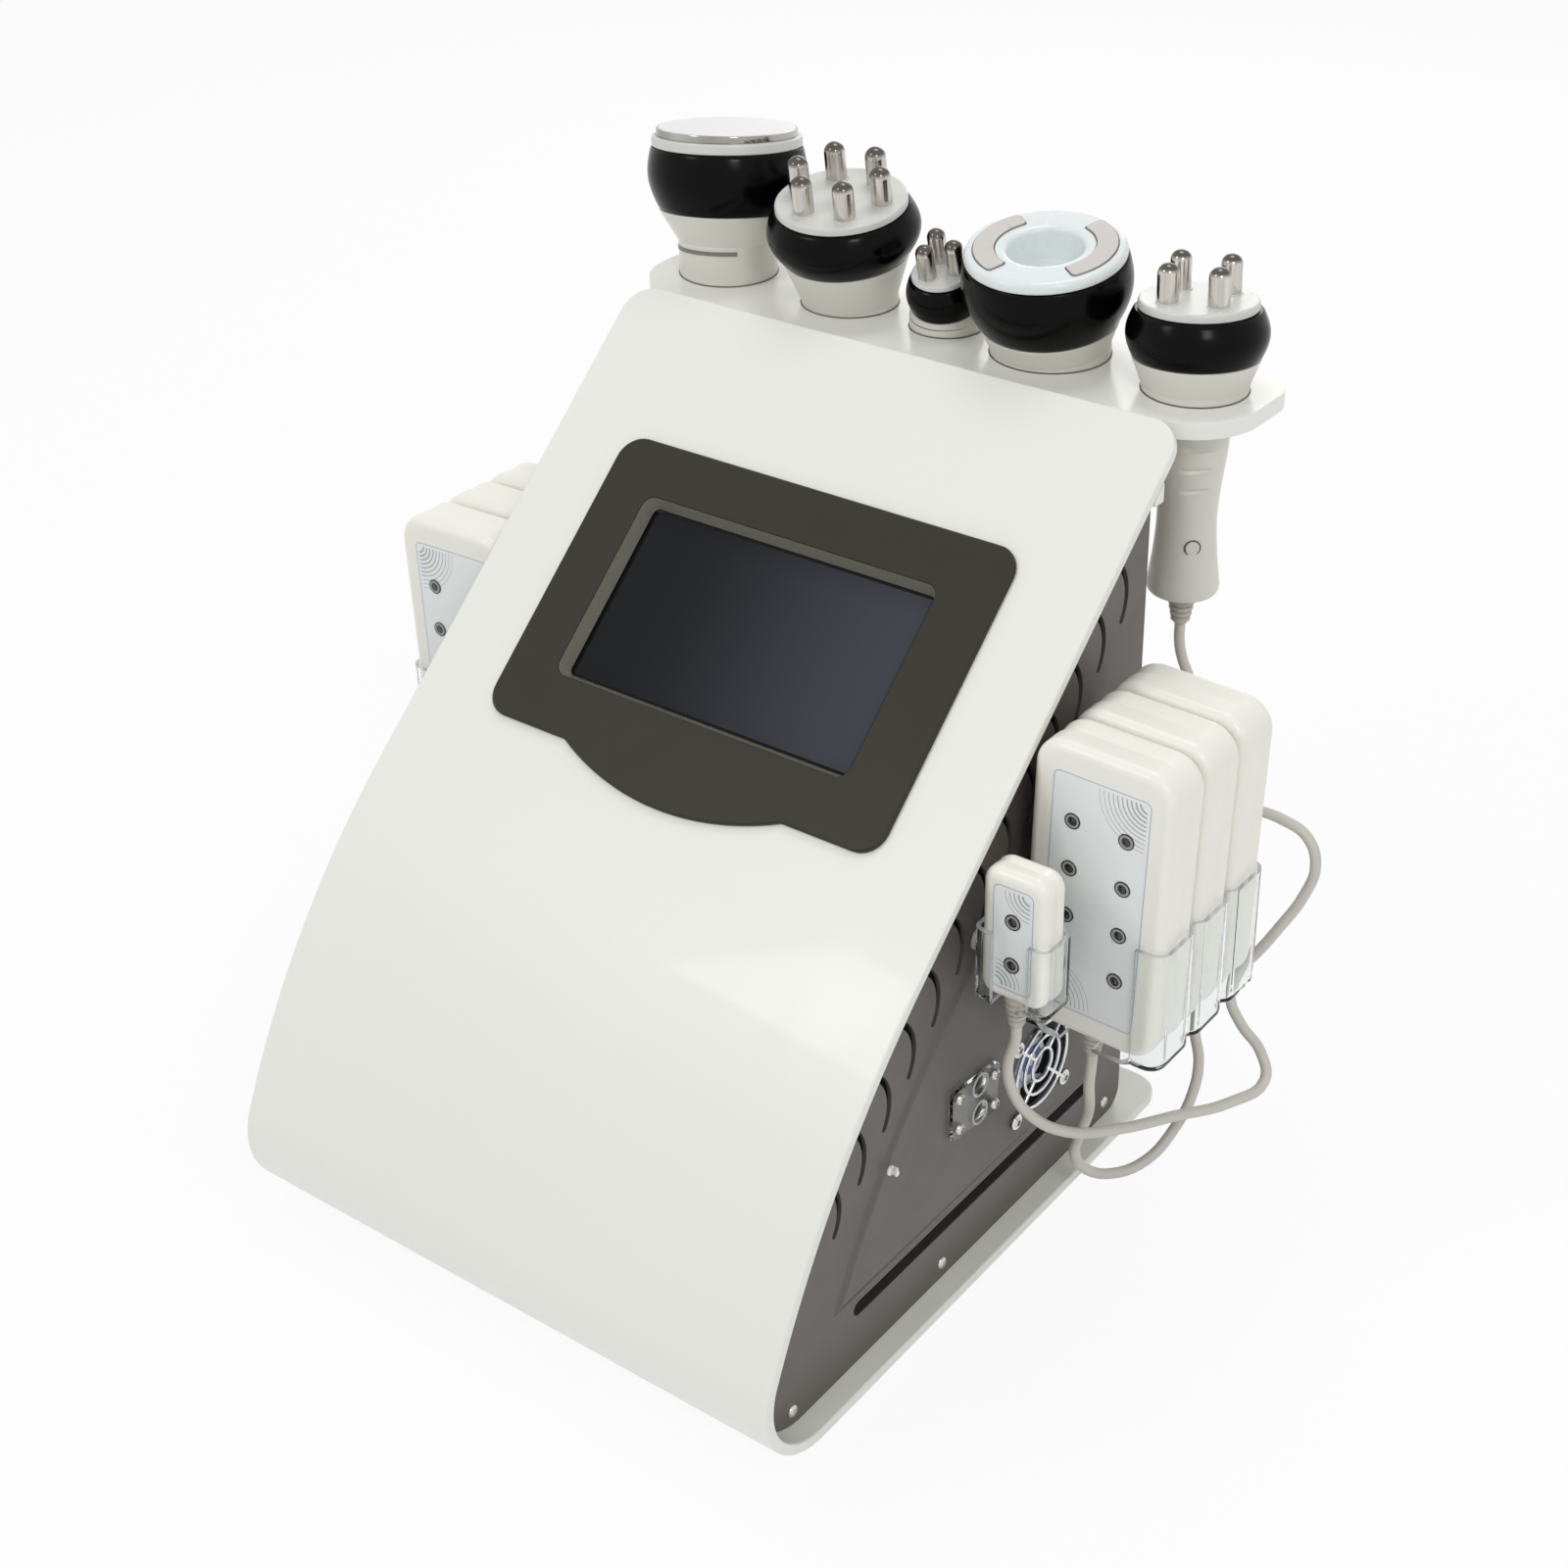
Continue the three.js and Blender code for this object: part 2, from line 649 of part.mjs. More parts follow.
// Mains inlet module: a cavity with three pins, beside the frame of a rocker switch
function powerInlet() {
  const [halfWidth, halfHeight] = [inletWidth / 2, inletHeight / 2]
  const body = alongY(box(inletX - halfWidth, inletZ - halfHeight, inletX + halfWidth, inletZ + halfHeight),
    panelRearY - inletDepth, panelRearY + seatGap + inletFlangeThickness)
  const flange = alongY(roundedBox(
    inletX - halfWidth - inletFlange, inletZ - halfHeight - inletFlange,
    inletX + halfWidth + inletFlange, inletZ + halfHeight + inletFlange, inletFlange, softSteps),
  panelRearY + seatGap, panelRearY + seatGap + inletFlangeThickness)
  const cavity = alongY(box(
    inletX - halfWidth + inletWall, inletZ - halfHeight + inletWall,
    inletX + halfWidth - inletWall, inletZ + halfHeight - inletWall),
  panelRearY - inletDepth + inletWall, panelRearY + inletFlangeThickness + overrun)
  const floorY = panelRearY - inletDepth + inletWall / 2
  const pins = [[-pinSpread, 0], [0, pinHeight / 2], [pinSpread, 0]].map(([dx, dz]) =>
    alongY(box(inletX + dx - pinWidth / 2, inletZ + dz - pinHeight / 2,
      inletX + dx + pinWidth / 2, inletZ + dz + pinHeight / 2), floorY, floorY + inletWall / 2 + pinLength))
  return join([cut(body.add(flange).add(switchSleeve()), [cavity, switchWell()]), ...pins])
}
const switchAxisY = panelRearY + seatGap

const switchHalf = [switchWidth / 2, switchHeight / 2]
const sleeveHalf = switchHalf.map(half => half + switchWall)
const bezelEdge = panelRearY + seatGap + inletFlangeThickness
function switchSleeve() {
  const [halfX, halfZ] = sleeveHalf
  const sleeve = alongY(box(switchX - halfX, inletZ - halfZ, switchX + halfX, inletZ + halfZ),
    panelRearY - switchDepth, bezelEdge)
  const bridge = alongY(box(inletX, inletZ - inletHeight / 2 - inletFlange,
    switchX + halfX + inletFlange, inletZ + inletHeight / 2 + inletFlange),
  panelRearY + seatGap, bezelEdge)
  return sleeve.add(bridge)
}
const switchWell = () => alongY(box(
  switchX - switchHalf[0], inletZ - switchHalf[1], switchX + switchHalf[0], inletZ + switchHalf[1]),
panelRearY - switchDepth + switchWall, panelRearY + switchDepth)
put('power_inlet', surface(powerInlet()), socketBlack)

// Rocker switch in that frame: it turns about X
function switchRocker() {
  const halfHeight = switchHeight / 2 - switchPlay
  const rise = halfHeight * Math.tan(switchTilt)
  const depth = switchDepth / 2
  const lowHalf = halfHeight * Math.cos(switchTilt)
  const side = [
    [-halfHeight, switchWall], [0, switchWall + rise / 2], [halfHeight, switchWall + 2 * rise],
    [lowHalf, -depth / 2], [0, -depth], [-lowHalf, -depth / 2]
  ]
  const outline = side.map(([z, y]) => [switchAxisY + y, inletZ + z])
  const half = switchWidth / 2 - seatGap
  return alongX(outline.reverse(), switchX - half, switchX + half)
}
put('power_switch', surface(switchRocker()), socketBlack)

// Bracket under the sheet's top edge, and the shelf that rests on it
function shelfBracket() {
  const inset = sheetThickness + seatGap
  const slopeMeetsTopY = faceTopY - (faceHeight(faceTopY, inset) - bracketTopZ) / Math.tan(faceSlope)
  const legRearY = bracketFrontY + bracketLegThickness
  const under = y => faceHeight(y, inset)
  const leg = alongX([
    [bracketFrontY, bracketLegZ], [legRearY, bracketLegZ], [legRearY, under(legRearY)],
    [bracketFrontY, under(bracketFrontY)]
  ], -shellWidth / 2, shellWidth / 2)
  const armHalf = shellWidth / 2 - bracketArmInset
  const arm = alongX([
    [bracketFrontY, bracketLegZ], [legRearY, bracketLegZ], [legRearY, bracketArmZ],
    [bracketRearY, bracketArmZ], [bracketRearY, bracketTopZ], [slopeMeetsTopY, bracketTopZ],
    [bracketFrontY, under(bracketFrontY)]
  ], -armHalf, armHalf)
  return leg.add(arm)
}
put('shelf_bracket', surface(shelfBracket()), whiteCoat)
function shelf() {
  const [front, rear] = [shelfFrontRadius, shelfRearRadius]
  const outline = [
    ...arc(shelfHalfWidth - front, shelfFrontY + front, front, -quarterTurn, 0, shelfSteps),
    ...arc(shelfHalfWidth - rear, shelfRearY - rear, rear, 0, quarterTurn, cornerSteps),
    ...arc(rear - shelfHalfWidth, shelfRearY - rear, rear, quarterTurn, halfTurn, cornerSteps),
    ...arc(front - shelfHalfWidth, shelfFrontY + front, front, halfTurn, halfTurn + quarterTurn, shelfSteps)
  ]
  const holes = handpieceSpecs.map(spec =>
    disc(spec.xShare * shelfHalfWidth, handpieceY, spec.holeRadius, gripSides))
  return alongZ(outline, shelfUnderZ, shelfTopZ, holes)
}
put('handpiece_shelf', surface(shelf()), whiteCoat)

// Display stack in the slanted face's frame
const face = new THREE.Group()
face.rotation.x = faceSlope
face.position.set(0, faceTopY, faceTopZ)
machine.add(face)

function screenBezel() {
  const radius = bezelCornerRadius
  const right = bezelHalfWidth - radius
  const bulgeRadius = (bulgeHalfWidth ** 2 + bulgeDepth ** 2) / (2 * bulgeDepth)
  const bulgeAngle = Math.asin(bulgeHalfWidth / bulgeRadius)
  const bulgeCentre = -bezelBottom - bulgeDepth + bulgeRadius
  const outline = [
    ...arc(right, -bezelTop - radius, radius, 0, quarterTurn, cornerSteps),
    ...arc(-right, -bezelTop - radius, radius, quarterTurn, halfTurn, cornerSteps),
    ...arc(-right, radius - bezelBottom, radius, halfTurn, halfTurn + quarterTurn, cornerSteps),
    ...arc(0, bulgeCentre, bulgeRadius, -quarterTurn - bulgeAngle, -quarterTurn + bulgeAngle, bulgeSteps),
    ...arc(right, radius - bezelBottom, radius, -quarterTurn, 0, cornerSteps)
  ]
  const frame = roundedBox(windowX - recessHalfWidth, windowCentre - recessHalfHeight,
    windowX + recessHalfWidth, windowCentre + recessHalfHeight, recessWall, bevelSteps)
  const body = alongZ(outline, bezelUnder, bezelFace).add(alongZ(frame, recessFloor, bezelFace))
  const opening = (inset, z) => roundedBox(
    windowX - windowWidth / 2 + inset, windowCentre - windowHeight / 2 + inset,
    windowX + windowWidth / 2 - inset, windowCentre + windowHeight / 2 - inset,
    windowCornerRadius - inset, bevelSteps
  ).map(([x, y]) => [x, y, z])
  const slant = windowTaper / windowDepth
  const throat = loft([
    opening(windowTaper + overrun * slant, recessFloor - overrun),
    opening(-overrun * slant, bezelFace + overrun)
  ])
  return cut(body, [throat])
}
put('screen_bezel', surface(screenBezel()), darkBezel, face)

const glassHalf = [recessHalfWidth - glassMargin / 2, recessHalfHeight - glassMargin / 2]
const stackBox = margin => roundedBox(
  windowX - glassHalf[0] - margin, windowCentre - glassHalf[1] - margin,
  windowX + glassHalf[0] + margin, windowCentre + glassHalf[1] + margin, recessWall, bevelSteps)
put('touch_screen', surface(alongZ(stackBox(0), glassTop - glassThickness, glassTop)), screenGlass, face)
put('display_module', surface(alongZ(stackBox(glassMargin / 2), moduleBack, moduleTop)), zincSheet, face)

// Control board on four standoffs behind the display, with its larger components
function controlBoard() {
  const [halfWidth, halfHeight] = [boardWidth / 2, boardHeight / 2]
  const plate = alongZ(box(windowX - halfWidth, windowCentre - halfHeight,
    windowX + halfWidth, windowCentre + halfHeight), boardTop - boardThickness, boardTop)
  const standoffs = [-1, 1].flatMap(a => [-1, 1].map(b =>
    pin(guardEyeRadius, boardTop - boardThickness / 2, moduleBack - seatGap, coilSides)
      .translate([windowX + a * (halfWidth - footRadius), windowCentre + b * (halfHeight - footRadius), 0])))
  const partShares = [
    [-0.6, 0.4, 0.22, 0.3, 0.9], [0.1, 0.3, 0.16, 0.26, 0.5], [0.6, -0.3, 0.2, 0.3, 1.2],
    [-0.2, -0.55, 0.3, 0.14, 0.7]
  ]
  const parts = partShares.map(([atX, atY, wide, high, thick]) => {
    const [x, y] = [windowX + atX * halfWidth, windowCentre + atY * halfHeight]
    const [halfWide, halfHigh] = [wide * halfWidth, high * halfHeight]
    return alongZ(box(x - halfWide, y - halfHigh, x + halfWide, y + halfHigh),
      boardTop - boardThickness - thick * boardStandoff, boardTop - boardThickness / 2)
  })
  return join([plate, ...standoffs, ...parts])
}
put('control_board', surface(controlBoard()), boardGreen, face)

// Power supply on the base: a folded can with its terminal block at one end
function powerSupply() {
  const [left, right] = [supplyX - supplyWidth / 2, supplyX + supplyWidth / 2]
  const [front, rear] = [supplyY - supplyDepth / 2, supplyY + supplyDepth / 2]
  const low = baseTopZ + seatGap
  const can = alongX(box(front, low, rear, low + supplyHeight), left, right - terminalDepth)
  const tray = alongX(box(front, low, rear, low + supplyWall), left, right)
  const block = alongX(box(front + supplyWall, low, rear - supplyWall, low + terminalHeight),
    right - terminalDepth - supplyWall, right - supplyWall)
  return join([can, tray, block])
}
put('power_supply', surface(powerSupply()), zincSheet)

// Vacuum pump: motor on a saddle, square head with two hose ports
function vacuumPump() {
  const axisZ = baseTopZ + seatGap + pumpBaseHeight + pumpRadius
  const motor = toRear(pin(pumpRadius, 0, pumpMotorLength, gripSides)).translate([pumpX, pumpY, axisZ])
  const low = baseTopZ + seatGap
  const saddle = alongY(box(pumpX - pumpRadius, low, pumpX + pumpRadius, axisZ),
    pumpY, pumpY + pumpMotorLength / 2)
  const half = pumpHeadWidth / 2
  const high = low + pumpHeadWidth
  const headOutline = roundedBox(pumpX - half, low, pumpX + half, high, pumpBaseHeight, softSteps)
  const head = alongY(headOutline, pumpY - pumpHeadLength, pumpY + overrun)
  const ports = [-1, 1].map(side => pin(pumpPortRadius, high - overrun,
    high + pumpPortLength, screwSides)
    .translate([pumpX + side * half / 2, pumpY - pumpHeadLength / 2, 0]))
  return join([motor, saddle, head, ...ports])
}
put('vacuum_pump', surface(vacuumPump()), pumpBlack)

// Fan: frame behind the right panel, rotor on a short shaft, chrome wire guard outside
const fanFaceX = panelInnerX - seatGap
const fanBackX = fanFaceX - fanDepth
function fanFrame() {
  const half = fanSize / 2
  const holes = [disc(fanY, fanZ, fanBoreRadius, 2 * poleSides),
    ...fanHoles.map(([y, z]) => disc(y, z, screwHoleRadius, poleSides))]
  const outline = roundedBox(fanY - half, fanZ - half, fanY + half, fanZ + half, fanCornerRadius, softSteps)
  const duct = alongX(outline, fanBackX, fanFaceX, holes)
  const mountFace = fanBackX + fanMountDepth
  const struts = [0, 1, 2].map(k => alongX(
    box(fanHubRadius / 2, -fanStrutWidth / 2, fanBoreRadius + fanStrutWidth / 2, fanStrutWidth / 2),
    fanBackX, mountFace).rotate([radToDeg(fullTurn * k / 3), 0, 0]).translate([0, fanY, fanZ]))
  const mount = toX(pin(fanHubRadius, fanBackX, mountFace, holeSides)).translate([0, fanY, fanZ])
  const shaftBore = pin(fanShaftRadius + slideGap, mountFace - fanMountDepth / 2, mountFace + overrun, holeSides)
  const bore = toX(shaftBore).translate([0, fanY, fanZ])
  return cut(join([duct, mount, ...struts]), [bore])
}
put('fan_frame', surface(fanFrame()), fanBlack)

function fanRotor() {
  const low = fanBackX + fanMountDepth + slideGap
  const high = fanFaceX - slideGap
  const hub = pin(fanHubRadius, low, high, holeSides)
  const shaft = pin(fanShaftRadius, low - fanMountDepth / 2 + slideGap / 2, low + overrun, holeSides)
  const halfBlade = (high - low - slideGap) * Math.cos(fanBladePitch) / 2
  const blades = Array.from({ length: fanBladeCount }, (_, k) => {
    const blade = alongX(box(-halfBlade, -fanBladeThickness / 2, halfBlade, fanBladeThickness / 2),
      fanHubRadius - overrun, fanBladeRadius)
    return toX(blade.rotate([-radToDeg(fanBladePitch), 0, 0]))
      .rotate([radToDeg(fullTurn * k / fanBladeCount), 0, 0]).translate([(low + high) / 2, fanY, fanZ])
  })
  const spindle = toX(hub.add(shaft)).translate([0, fanY, fanZ])
  return join([spindle, ...blades])
}
put('fan_rotor', surface(fanRotor()), fanWhite)

function fanGuard() {
  const wireX = panelFaceX + seatGap + guardWireRadius
  const hoop = (radius, sides) => solid(new THREE.TorusGeometry(radius, guardWireRadius, wireSides, sides))
  const reach = fanHolePitch / Math.SQRT2 - guardEyeRadius
  const inner = guardRingRadii[0]
  const corners = [0, 1, 2, 3].map(k => radToDeg(guardTurn + k * quarterTurn))
  const spokes = corners.map(angle => {
    const bar = new THREE.CylinderGeometry(guardWireRadius, guardWireRadius, reach - inner, wireSides)
    return solid(bar.translate(0, (reach + inner) / 2, 0)).rotate([0, 0, angle])
  })
  const eyes = corners.map(angle =>
    hoop(guardEyeRadius, screwSides).translate([0, fanHolePitch / Math.SQRT2, 0]).rotate([0, 0, angle]))
  const rings = guardRingRadii.map(radius => hoop(radius, footSides))
  return toX(join([...rings, ...spokes, ...eyes])).translate([wireX, fanY, fanZ])
}
put('fan_guard', surface(fanGuard()), chromeWire)

// Clear cover plate on the right panel, slightly skewed, with two round holes and four screws
function coverPlate() {
  const { frontY, rearY, lowZ, highZ } = coverCorners
  const outline = [[frontY, lowZ + coverSkew], [rearY, lowZ], [rearY, highZ - coverSkew], [frontY, highZ]]
  const low = panelFaceX + seatGap
  const holes = [
    ...coverHoleZs.map(z => disc(coverHoleY, z, coverHoleRadius, footSides)),
    ...coverScrews.map(([y, z]) => disc(y, z, screwHoleRadius, coilSides))
  ]
  return alongX(outline, low, low + coverThickness, holes)
}
put('cover_plate', surface(coverPlate()), clearAcrylic)

// A pad casing: soft-edged box with a seam round it, diode wells in front, cord relief below
function padCasing(size) {
  const { width, height, thickness, radius, columns, rows, pitch, rise, reliefShift } = size
  const ring = ([depth, inset]) => roundedBox(-width / 2 + inset, inset, width / 2 - inset, height - inset,
    Math.max(radius - inset, padEdge), padCornerSteps).map(([x, z]) => [x, depth, z])
  const middle = thickness / 2
  const rings = [
    [0, padEdge], [padEdge, 0], [middle - padSeamDepth, 0], [middle, padSeamDepth],
    [middle + padSeamDepth, 0], [thickness - padEdge, 0], [thickness, padEdge]
  ]
  const wells = []
  for (let column = 0; column < columns; column++) {
    for (let row = 0; row < rows; row++) {
      const x = (column - (columns - 1) / 2) * diodeColumnGap
      const z = height / 2 + rise + (row - (rows - 1) / 2) * pitch
      wells.push(alongY(disc(x, z, diodeRadius, lensSides), -overrun, diodeDepth))
    }
  }
  const relief = pin(padReliefRadius, -padReliefLength, overrun, poleSides)
    .translate([reliefShift, middle, 0])
  return cut(loft(rings.map(ring)), wells).add(relief)
}
const bigPad = padCasing({
  width: padWidth, height: padHeight, thickness: padThickness, radius: padCornerRadius,
  columns: 2, rows: 4, pitch: diodePitch, rise: diodeRise, reliefShift: padReliefShift
})
const smallPad = padCasing({
  width: smallPadWidth, height: smallPadHeight, thickness: smallPadThickness, radius: smallPadCornerRadius,
  columns: 1, rows: 2, pitch: smallDiodePitch, rise: smallDiodeRise,
  reliefShift: smallPadReliefShift
})
const leanDrop = (padWidth / 2 - padCornerRadius) * Math.sin(padLean)
const padRestZ = holderFloorZ + holderWall + seatGap + leanDrop
const smallPadRestZ = smallHolderFloorZ + holderWall + seatGap
for (const [side, sideName] of [[1, 'right'], [-1, 'left']]) {
  for (let k = 0; k < padCount; k++) {
    const pad = put(`laser_pad_${sideName}_${k + 1}`, surface(onSide(bigPad, side)), creamPlastic)
    const [back, down] = side > 0 ? [0, 0] : [leftHolderBack, leftHolderDown]
    pad.position.set(side * padX, padFrontY + k * padPitch + back, padRestZ - down)
    pad.rotation.y = side * padLean
  }
}
put('small_pad_right', surface(smallPad), creamPlastic)
  .position.set(smallPadX, smallPadFrontY, smallPadRestZ)

// A holder: clear box open at the top and in the middle of its front, with a slot in its floor for
// the cords, ribs between its pads where its outer wall folds in, and spacers to the side panel
function padHolder(size) {
  const { centreX, width, frontY, thickness, pitch, count, floor, height, radius, lean, reliefShift } = size
  const inner = centreX - width / 2 - slideGap
  const outer = centreX + width / 2 + slideGap + height * Math.tan(lean)
  const nearY = frontY - slideGap
  const farY = frontY + (count - 1) * pitch + thickness + slideGap
  const wall = holderWall
  const top = floor + height
  const outline = (inset, z) => roundedBox(inner - wall + inset, nearY - wall + inset, outer + wall - inset,
    farY + wall - inset, radius - inset, softSteps).map(([x, y]) => [x, y, z])
  const shell = loft([outline(holderEdge, floor), outline(0, floor + holderEdge), outline(0, top)])
  const pocket = roundedBox(inner, nearY, outer, farY, radius - wall, softSteps)
  const slotX = centreX + reliefShift
  const slotEnd = frontY + (count - 1) * pitch + thickness / 2 + holderSlotHalfWidth
  const slot = box(slotX - holderSlotHalfWidth, nearY - wall - overrun, slotX + holderSlotHalfWidth, slotEnd)
  const opening = box(inner + holderLip, nearY - wall - overrun, outer - holderLip, nearY + overrun)
  const ribs = []
  const folds = []
  for (let k = 0; k + 1 < count; k++) {
    const middle = frontY + thickness + k * pitch + (pitch - thickness) / 2
    const [mouth, root] = [outer + wall + overrun, outer + wall - holderFoldDepth]
    folds.push(alongZ([
      [mouth, middle - holderFoldHalfWidth], [mouth, middle + holderFoldHalfWidth],
      [root, middle + holderFoldHalfWidth / 2], [root, middle - holderFoldHalfWidth / 2]
    ], floor - overrun, top + overrun))
    const [near, far] = [middle - holderRib / 2, middle + holderRib / 2]
    ribs.push(alongZ(box(inner - wall / 2, near, inner + holderLip, far), floor, top))
    ribs.push(alongZ(box(outer - holderLip, near, outer + wall / 2, far), floor, top))
  }
  const spacerInset = holderSpacerInsetShare * (farY - nearY)
  const spacers = [nearY + spacerInset, farY - spacerInset].map(y => alongX(
    disc(y, floor + height / 2, holderSpacerRadius, poleSides), panelFaceX + seatGap, inner - wall / 2))
  return cut(join([cut(shell, [alongZ(pocket, floor + wall, top + overrun)]), ...ribs, ...spacers]), [
    ...folds,
    alongZ(slot, floor - overrun, floor + wall + overrun),
    alongZ(opening, floor + wall, top + overrun)
  ])
}
const bigHolder = padHolder({
  centreX: padX, width: padWidth, frontY: padFrontY, thickness: padThickness, pitch: padPitch,
  count: padCount, floor: holderFloorZ, height: holderHeight, radius: holderCornerRadius, lean: padLean,
  reliefShift: padReliefShift
})
const smallHolder = padHolder({
  centreX: smallPadX, width: smallPadWidth, frontY: smallPadFrontY, thickness: smallPadThickness,
  pitch: padPitch, count: 1, floor: smallHolderFloorZ, height: smallHolderHeight,
  radius: smallHolderCornerRadius, lean: 0, reliefShift: smallPadReliefShift
})
put('pad_holder_right', surface(bigHolder), clearAcrylic)
put('pad_holder_left', surface(onSide(bigHolder, -1)), clearAcrylic)
  .position.set(0, leftHolderBack, -leftHolderDown)
put('small_holder_right', surface(smallHolder), clearAcrylic)

// Handpieces: handle with collar, black grip, working head and push button
function handpiece(spec) {
  const { name, xShare, holeRadius, handleRadius, tilt, turn, elbow, collarTop, collarRadius } = spec
  const { gripTop, gripRadius, neckRadius, plateTop } = spec
  const holder = new THREE.Group()
  holder.position.set(xShare * shelfHalfWidth, handpieceY, shelfTopZ)
  holder.rotation.z = turn
  const head = new THREE.Group()
  head.position.z = elbow
  head.rotation.x = tilt
  holder.add(head)
  machine.add(holder)
  const necked = holeRadius - slideGap
  const seated = holeRadius + seatLedge

  const stem = [
    [0, -handleLength - reliefLength],
    ...[...reliefShapeShares].reverse().map(([down, wide]) =>
      [reliefRadius * wide, -handleLength - reliefLength * down]),
    ...[...handleShapeShares].reverse().map(([down, wide]) => [handleRadius * wide, -handleLength * down]),
  ]
  stem.pop()
  const collarFoot = -shelfThickness + slideGap
  const bendReach = seated * Math.abs(Math.tan(tilt / 2))
  const lower = turned([
    ...stem, [handleRadius, collarFoot], [necked, collarFoot], [necked, seatGap], [seated, seatGap],
    [seated, elbow + bendReach + overrun], [0, elbow + bendReach + overrun]
  ], handleSides)
  const upper = turned([
    [0, -bendReach - overrun], [seated, -bendReach - overrun], [seated, bendReach / 2],
    [collarRadius, collarTop - elbow], [0, collarTop - elbow]
  ], handleSides).rotate([radToDeg(tilt), 0, 0]).translate([0, 0, elbow])
  const span = gripRadius * 2
  const halfSpace = (low, high) => alongZ(box(-span, -span, span, span), low, high)
    .rotate([radToDeg(tilt / 2), 0, 0]).translate([0, 0, elbow])
  const body = cut(lower, [halfSpace(0, span)]).add(cut(upper, [halfSpace(-span, -mitreOverlap)]))

  const seatRadius = handleRadius * buttonSeatShare
  const well = toFront(pin(buttonRadius + seatGap, seatRadius - buttonDepth - seatGap - buttonTravel,
    handleRadius + overrun, screwSides)).translate([0, 0, -buttonDrop])
  put(`${name}_handle`, surface(cut(body, [well])), greyPlastic, holder)
  const button = toFront(pin(buttonRadius, seatRadius - buttonDepth, seatRadius + buttonProud, screwSides))
  put(`${name}_button`, surface(button.translate([0, 0, -buttonDrop])), greyPlastic, holder)

  const gripLow = collarTop + seatGap - elbow
  const gripHigh = gripTop - elbow
  const gripSpread = gripRadius - (collarRadius + neckRadius) / 2
  const gripRings = Array.from({ length: gripSteps + 1 }, (_, step) => {
    const part = step / gripSteps
    const base = collarRadius + (neckRadius - collarRadius) * part
    return [base + gripSpread * Math.sin(halfTurn * part), gripLow + (gripHigh - gripLow) * part]
  })
  const cupSeat = spec.cupRadius + cupWall + seatGap
  const cupFloor = plateTop - elbow - spec.cupDepth - cupWall - seatGap
  const bore = [[cupSeat, gripHigh], [cupSeat, cupFloor], [0, cupFloor]]
  const gripTopFace = spec.cupRadius ? bore : [[0, gripHigh]]
  const grip = turned([[0, gripLow], ...gripRings, ...gripTopFace], gripSides)
  put(`${name}_grip`, surface(grip), glossBlack, head)
  const headFinish = spec.discRadius ? steel : paleGrey
  put(`${name}_head`, surface(workingHead(spec, gripHigh + seatGap, plateTop - elbow)), headFinish, head)
}

// The working head on top of the grip: poles on a plate, a bare disc, or a cup between two arcs
function workingHead(spec, low, high) {
  const { plateRadius, poles, poleRing, poleRadius, poleHeight, polePhase } = spec
  const { discRadius, discHeight, cupRadius, cupDepth, arcInner, arcOuter, arcHeight } = spec
  const rim = [
    [0, low], [plateRadius, low], [plateRadius, high - plateChamfer], [plateRadius - plateChamfer, high]
  ]
  if (discRadius) {
    const disc = [[discRadius, high], [discRadius, high + discHeight], [0, high + discHeight]]
    return turned([...rim, ...disc], gripSides)
  }
  if (cupRadius) {
    const floor = high - cupDepth
    const outside = cupRadius + cupWall
    const plate = turned([
      [0, floor - cupWall], [outside, floor - cupWall], [outside, low], ...rim.slice(1),
      [cupRadius, high], [cupRadius - cupTaper, floor], [0, floor]
    ], gripSides)
    const arcs = [-1, 1].map(side => {
      const middle = side > 0 ? 0 : halfTurn
      const outline = [
        ...arc(0, 0, arcOuter, middle - arcHalfSpan, middle + arcHalfSpan, bendSteps),
        ...arc(0, 0, arcInner, middle + arcHalfSpan, middle - arcHalfSpan, bendSteps)
      ]
      return alongZ(outline, high - plateChamfer / 2, high + arcHeight)
    })
    return join([plate, ...arcs])
  }
  const plate = turned([...rim, [0, high]], gripSides)
  const dome = quarterTurn / 2
  const tip = high + poleHeight
  const pole = turned([
    [0, high - plateChamfer / 2], [poleRadius, high - plateChamfer / 2], [poleRadius, tip - poleRadius],
    [poleRadius * Math.cos(dome), tip - poleRadius * (1 - Math.sin(dome))], [0, tip]
  ], poleSides)
  const ring = Array.from({ length: poles }, (_, k) => {
    const angle = polePhase + k * fullTurn / poles
    return pole.translate([poleRing * Math.cos(angle), poleRing * Math.sin(angle), 0])
  })
  return join([plate, ...ring])
}
handpieceSpecs.forEach(handpiece)

